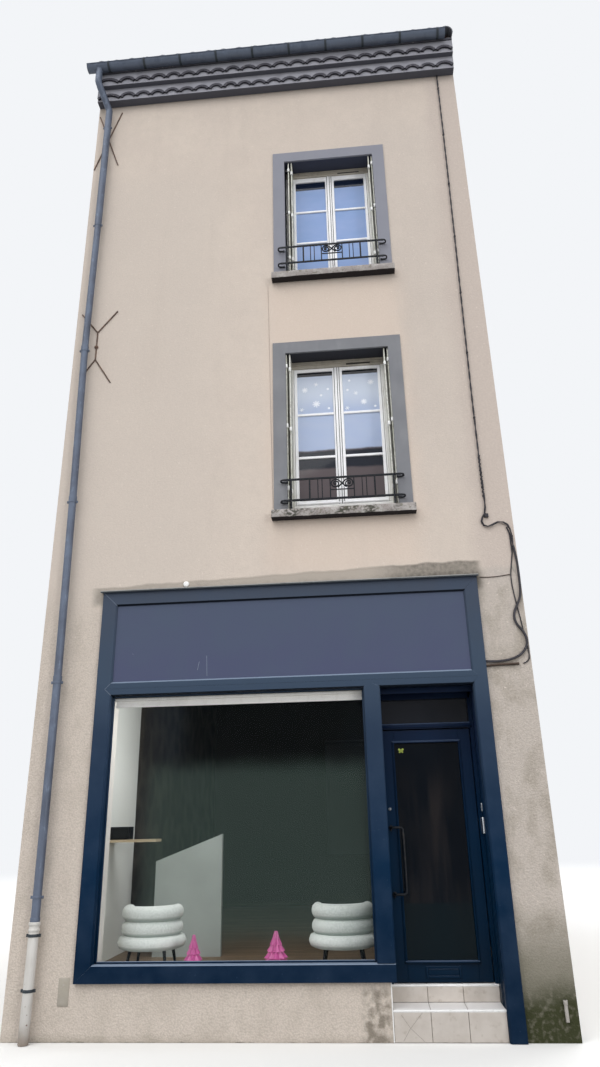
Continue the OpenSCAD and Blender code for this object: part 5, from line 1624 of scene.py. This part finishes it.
# Cables on the wall: a twisted pair comes down from the eaves and runs on as one thick cable, held by clips
cable = {
    "off": 0.018, "strand": 0.0062, "lay": 0.30, "clipGap": 0.85, "thick": 0.012,
    # Wire wound round the pair: its middle, foot, top, reach, radius and pitch
    "wrap": (2.2045, 4.90, 5.42, 0.0105, 0.0055, 0.050), "thickFrom": 4.281,
    "bracket": ((2.186, 4.680), (2.230, 4.722), 0.024),
    "route": [(2.251, 11.225), (2.246, 10.2), (2.238, 9.2), (2.228, 8.2), (2.216, 7.2), (2.206, 6.2), (2.203, 5.3),
              (2.208, 4.88), (2.206, 4.79), (2.192, 4.725), (2.166, 4.68), (2.152, 4.635), (2.168, 4.591),
              (2.211, 4.574), (2.260, 4.591), (2.316, 4.618), (2.371, 4.616), (2.412, 4.583), (2.434, 4.53),
              (2.440, 4.445), (2.442, 4.345), (2.452, 4.255), (2.46, 4.17), (2.46, 4.065), (2.46, 3.96),
              (2.452, 3.82), (2.416, 3.74), (2.373, 3.663), (2.357, 3.591), (2.376, 3.52), (2.424, 3.46),
              (2.453, 3.394), (2.455, 3.324), (2.421, 3.257), (2.362, 3.206), (2.286, 3.176), (2.191, 3.161),
              (2.107, 3.159), (2.035, 3.165)],
    # Thinner cables beside it, each with its radius
    "beside": [
        (0.008, [(2.400, 4.560), (2.424, 4.500), (2.424, 4.400), (2.425, 4.281)]),
        (0.006, [(2.425, 4.281), (2.401, 4.141), (2.381, 4.049), (2.381, 3.945), (2.393, 3.796), (2.410, 3.672),
                 (2.426, 3.549), (2.433, 3.472)]),
        (0.006, [(2.459, 3.308), (2.460, 3.243), (2.460, 3.179), (2.427, 3.143), (2.395, 3.134)]),
    ],
    "brown": (0.004, [(2.069, 4.030), (2.161, 4.023), (2.271, 4.031), (2.375, 4.044)]),
    "white": (0.004, [(2.403, 4.141), (2.427, 4.070), (2.462, 4.005), (2.465, 3.962)]),
    "conduit": (0.012, [(2.353, 3.132), (2.220, 3.130), (2.093, 3.127), (2.035, 3.121)]),
}


def makeCable(s):
    bm = bmesh.new()
    y = street - s["off"]
    route = [Vector((x, y, z)) for x, z in s["route"]]
    split = next(i for i, point in enumerate(route) if point.z < s["thickFrom"])
    travelled = 0.0
    strands = ([], [])
    clips = []
    nextClip = 0.25
    for start, end in zip(route[:split], route[1:split + 1]):
        run = end - start
        across = Vector((run.z, 0, -run.x)).normalized()
        pieces = max(2, round(run.length / (s["lay"] / 6)))
        for i in range(pieces):
            at = start.lerp(end, i / pieces)
            phase = 2 * math.pi * (travelled + run.length * i / pieces) / s["lay"]
            for number, strand in enumerate(strands):
                turn = phase + number * math.pi
                beside = across * math.cos(turn) + Vector((0, math.sin(turn), 0))
                strand.append(at + s["strand"] * 0.80 * beside)
        while travelled + run.length > nextClip:
            share = (nextClip - travelled) / run.length
            clips.append((start.lerp(end, share), across))
            nextClip += s["clipGap"]
        travelled += run.length
    for strand in strands:
        addBent(bm, strand, s["strand"])
    for at, across in clips:
        verts = addBlock(bm, (-0.0125, -0.0125, -0.003), (0.0125, 0.0175, 0.003), 0.002)
        turn = Matrix.Rotation(math.atan2(-across.z, across.x), 4, "Y")
        bmesh.ops.transform(bm, matrix=Matrix.Translation(at) @ turn, verts=verts)
    addBent(bm, route[split - 1:], s["thick"], 3, True)
    # Wire wound round the pair above its first bend
    middle, low, high, reach, radius, pitch = s["wrap"]
    count = round((high - low) / pitch * 8)
    addBent(bm, [(middle + reach * math.cos(i * math.pi / 4), y + reach * math.sin(i * math.pi / 4),
                  low + (high - low) * i / count) for i in range(count + 1)], radius)
    for radius, line in s["beside"]:
        addBent(bm, [(x, street - radius - 0.001, z) for x, z in line], radius, 2, True)
    (x0, z0), (x1, z1), out = s["bracket"]
    addBlock(bm, (x0, street - out, z0), (x1, street, z1), 0.004, 2)
    makePiece("drop_cable_pair", bm, "cable_sheath", ["drop_cable"])
    for name, finish in (("brown", brownSheath), ("white", paleSheath), ("conduit", brownSheath)):
        radius, line = s[name]
        thin = bmesh.new()
        addBent(thin, [(x, street - radius - 0.0005, z) for x, z in line], radius, 2, True)
        makePiece("drop_cable_" + name, thin, "cable_sheath", finish=finish)


brownSheath = cornicePaint("brownSheath", "#5A4C43", "#40352E", "#2A2420")
paleSheath = cornicePaint("paleSheath", "#B9B4AB", "#98938A")
makeCable(cable)
print("cables made")


# Stars and dots stuck on the outside of the first floor panes; each star has a place, a reach and a number of arms
stickers = {
    "depth": 0.2252, "thick": 0.0006, "arm": 0.012,
    "stars": [((0.317, 6.520), 0.036, 4), ((0.448, 6.321), 0.046, 4), ((1.097, 6.576), 0.036, 4),
              ((1.006, 6.316), 0.038, 4), ((0.451, 6.589), 0.027, 3), ((0.276, 6.254), 0.026, 3),
              ((0.916, 6.437), 0.028, 3), ((0.810, 6.242), 0.026, 3)],
    "dots": [(0.589, 6.518), (0.507, 6.437), (0.594, 6.256), (0.847, 6.614), (0.821, 6.487), (1.135, 6.249)],
    "dot": 0.015,
}


def makeStickers(s):
    bm = bmesh.new()
    y = street + s["depth"]
    for (x, z), reach, arms in s["stars"]:
        for i in range(arms):
            angle = math.pi * i / arms + 0.12
            dx, dz = reach * math.cos(angle), reach * math.sin(angle)
            layer = y - i * 0.0004
            addFlat(bm, (x - dx, layer, z - dz), (x + dx, layer, z + dz), s["arm"] * reach / 0.042, s["thick"])
        addStud(bm, x, z, y - 0.0024, y, reach * 0.24, 12)
    for x, z in s["dots"]:
        addStud(bm, x, z, y - s["thick"] / 2, y + s["thick"] / 2, s["dot"], 14)
    makePiece("window_stickers", bm, "window_glass", finish=starFilm)


# Butterfly of yellow-green film on the door's pane: two pairs of wings, as short flat strips
butterfly = {"at": (1.171, 2.376), "before": 0.0012, "thick": 0.0006,
             "wings": [((0.003, 0.002), (0.024, 0.020), 0.019), ((0.003, -0.002), (0.018, -0.016), 0.014)]}


def makeButterfly(s):
    bm = bmesh.new()
    x, z = s["at"]
    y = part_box("door_glass")[0].y - s["before"]
    for (x0, z0), (x1, z1), wide in s["wings"]:
        for side in (-1, 1):
            addStrokes(bm, [((x + side * x0, z + z0), (x + side * x1, z + z1))], y, wide, s["thick"])
    makePiece("door_sticker", bm, "window_glass", (), "door", finish=limeFilm)


limeFilm = coatedMetal("limeFilm", "#A9B84A", "#8FA03A", 0.5)
makeButterfly(butterfly)
starFilm = coatedMetal("starFilm", "#F2F5FB", "#E2E9F5", 0.5)
makeStickers(stickers)

# Small things on the wall: a round cap over the flashing, a painted-over wire, a patch of new mortar and a stub of
# grey drain pipe
wallBits = {
    "cap": (-0.974, 4.101, 0.033, 0.016), "wire": [(-0.090, 7.918), (-0.076, 7.1), (-0.064, 6.0), (-0.047, 4.923)],
    "wireRadius": 0.0032,
    "patch": ((-1.990, 0.270), (-1.890, 0.490)), "stub": (2.377, 0.150, 0.310, 0.015),
}


def makeWallBits(s):
    cap, wire, patch, stub = (bmesh.new() for _ in range(4))
    x, z, radius, out = s["cap"]
    addStud(cap, x, z, street, street - out, radius, 28, 0.004, radius * 0.82)
    addBent(wire, [(x, street - s["wireRadius"] * 0.7, z) for x, z in s["wire"]], s["wireRadius"], 1, True)
    (x0, z0), (x1, z1) = s["patch"]
    addBlock(patch, (x0, street - 0.006, z0), (x1, street + 0.002, z1), 0.004, 2)
    x, low, high, radius = s["stub"]
    addUpright(stub, x, street - radius, low, high, radius, 20, 0.002)
    addUpright(stub, x, street - radius, high - 0.035, high, radius + 0.003, 20, 0.002)
    makePiece("wall_cap", cap, "wall_render", finish=whiteBlock)
    makePiece("wall_wire_painted", wire, "wall_render", finish=paintedWire)
    makePiece("mortar_patch", patch, "lower_render", finish=newMortar)
    makePiece("drain_stub", stub, "lower_render", finish=paleSheath)


paintedWire = cornicePaint("paintedWire", "#C6B9AE", "#AFA297")
newMortar = cornicePaint("newMortar", "#AEA79C", "#97907F")
makeWallBits(wallBits)
print("small things made")


# Two low tub chairs behind the shop window, with their backs to the street: two padded rolls stand on a round seat
chair = {
    "at": ((-1.365, -3.26), (0.520, -3.27)), "foot": 0.375, "hub": 0.242, "roll": (0.062, 0.070),
    "levels": (0.937, 0.803), "seat": (0.622, 0.742), "wider": 0.030, "spread": 0.165, "leg": (0.011, 0.017),
}


def makeChair(name, s, x, y):
    wool, legs = bmesh.new(), bmesh.new()
    tubeOut, tubeHigh = s["roll"]
    for z in s["levels"]:
        roll = bmesh.new()
        bmesh.ops.create_circle(roll, cap_ends=True, segments=14, radius=1.0)
        shape = (Matrix.Rotation(math.radians(5), 4, "Z") @ Matrix.Translation((s["hub"], 0, 0))
                 @ Matrix.Diagonal((tubeOut, 1, tubeHigh, 1)) @ Matrix.Rotation(math.radians(90), 4, "X"))
        bmesh.ops.transform(roll, matrix=shape, verts=roll.verts)
        bmesh.ops.spin(roll, geom=[*roll.faces, *roll.edges, *roll.verts], cent=(0, 0, 0), axis=(0, 0, -1),
                       angle=math.radians(190), steps=22)
        bmesh.ops.recalc_face_normals(roll, faces=roll.faces)
        for turn in (5, 175):
            place = (Matrix.Rotation(math.radians(turn), 4, "Z") @ Matrix.Translation((s["hub"], 0, 0))
                     @ Matrix.Diagonal((tubeOut, tubeOut, tubeHigh, 1)))
            bmesh.ops.create_uvsphere(roll, u_segments=12, v_segments=8, radius=0.995, matrix=place)
        bmesh.ops.translate(roll, vec=(x, y, z), verts=roll.verts)
        joinPart(wool, roll)
    low, high = s["seat"]
    addUpright(wool, x, y, low, high, s["hub"] + tubeOut + s["wider"], 36, 0.052)
    for dx in (-s["spread"], s["spread"]):
        for dy in (-s["spread"], s["spread"]):
            addBar(legs, (x + dx * 1.25, y + dy * 1.25, s["foot"]), (x + dx, y + dy, low + 0.01),
                   s["leg"][0], 10, 0.0, s["leg"][1])
    makePiece(name + "_cushions", wool, "white_metal", finish=boucle, sharp=60)
    makePiece(name + "_legs", legs, "black_metal", finish=chairLeg)


for name, (x, y) in zip(("left_chair", "right_chair"), chair["at"]):
    makeChair(name, chair, x, y)

# Things in the shop: two pink glazed trees of scalloped tiers on the floor, a speaker on the shelf, and a dark blind
# drawn over the rear window as a dark sheet of painted shade for the back of the shop
room = {
    # Place, top and reach of each tree
    "trees": ((-0.089, -3.66, 0.798, 0.215), (-0.855, -3.68, 0.775, 0.165)), "tiers": 8, "foot": 0.375,
    "speaker": ((-2.123, -2.54, 1.600), (-1.884, -2.36, 1.735)),
    "speakerFront": ((-2.111, -2.542, 1.612), (-1.896, -2.50, 1.723)),
    "blind": ((windowX - 0.70, windowX + 0.70), 1.20, 3.20, 3.470),    # sides, foot, top and depth in the room
}


def makeRoomThings(s):
    pink, box, curtain = (bmesh.new() for _ in range(3))
    for x, y, top, reach in s["trees"]:
        high = (top - s["foot"]) / (s["tiers"] - 0.5)
        for i in range(s["tiers"]):
            z = s["foot"] + i * high * 0.93
            wide = reach * (1 - i / s["tiers"]) + 0.006
            place = Matrix.Translation((x, y, z + high * 0.55)) @ Matrix.Rotation(i * 0.3, 4, "Z")
            cone = bmesh.ops.create_cone(pink, cap_ends=True, segments=18, radius1=wide, radius2=wide * 0.50,
                                         depth=high * 1.05, matrix=place)
            for k, vert in enumerate(cone["verts"]):
                if vert.co.z < z + 0.01 and k // 2 % 2:
                    vert.co.x, vert.co.y = x + (vert.co.x - x) * 0.72, y + (vert.co.y - y) * 0.72
        bmesh.ops.create_uvsphere(pink, u_segments=10, v_segments=8, radius=0.014,
                                  matrix=Matrix.Translation((x, y, top - 0.012)))
    addBlock(box, *s["speaker"], 0.010, 3)
    addBlock(box, *s["speakerFront"], 0.004)
    (left, right), foot, top, y = s["blind"]
    addBlock(curtain, (left, y, foot), (right, y + 0.008, top), 0.002)
    addBar(curtain, (left, y - 0.02, top), (right, y - 0.02, top), 0.028, 16)
    makePiece("pink_trees", pink, "white_metal", finish=pinkGlaze)
    makePiece("shelf_speaker", box, "black_metal", finish=chairLeg)
    makePiece("rear_blind", curtain, "black_metal", finish=shadeBlind)


makeRoomThings(room)
print("chairs and shop things made")
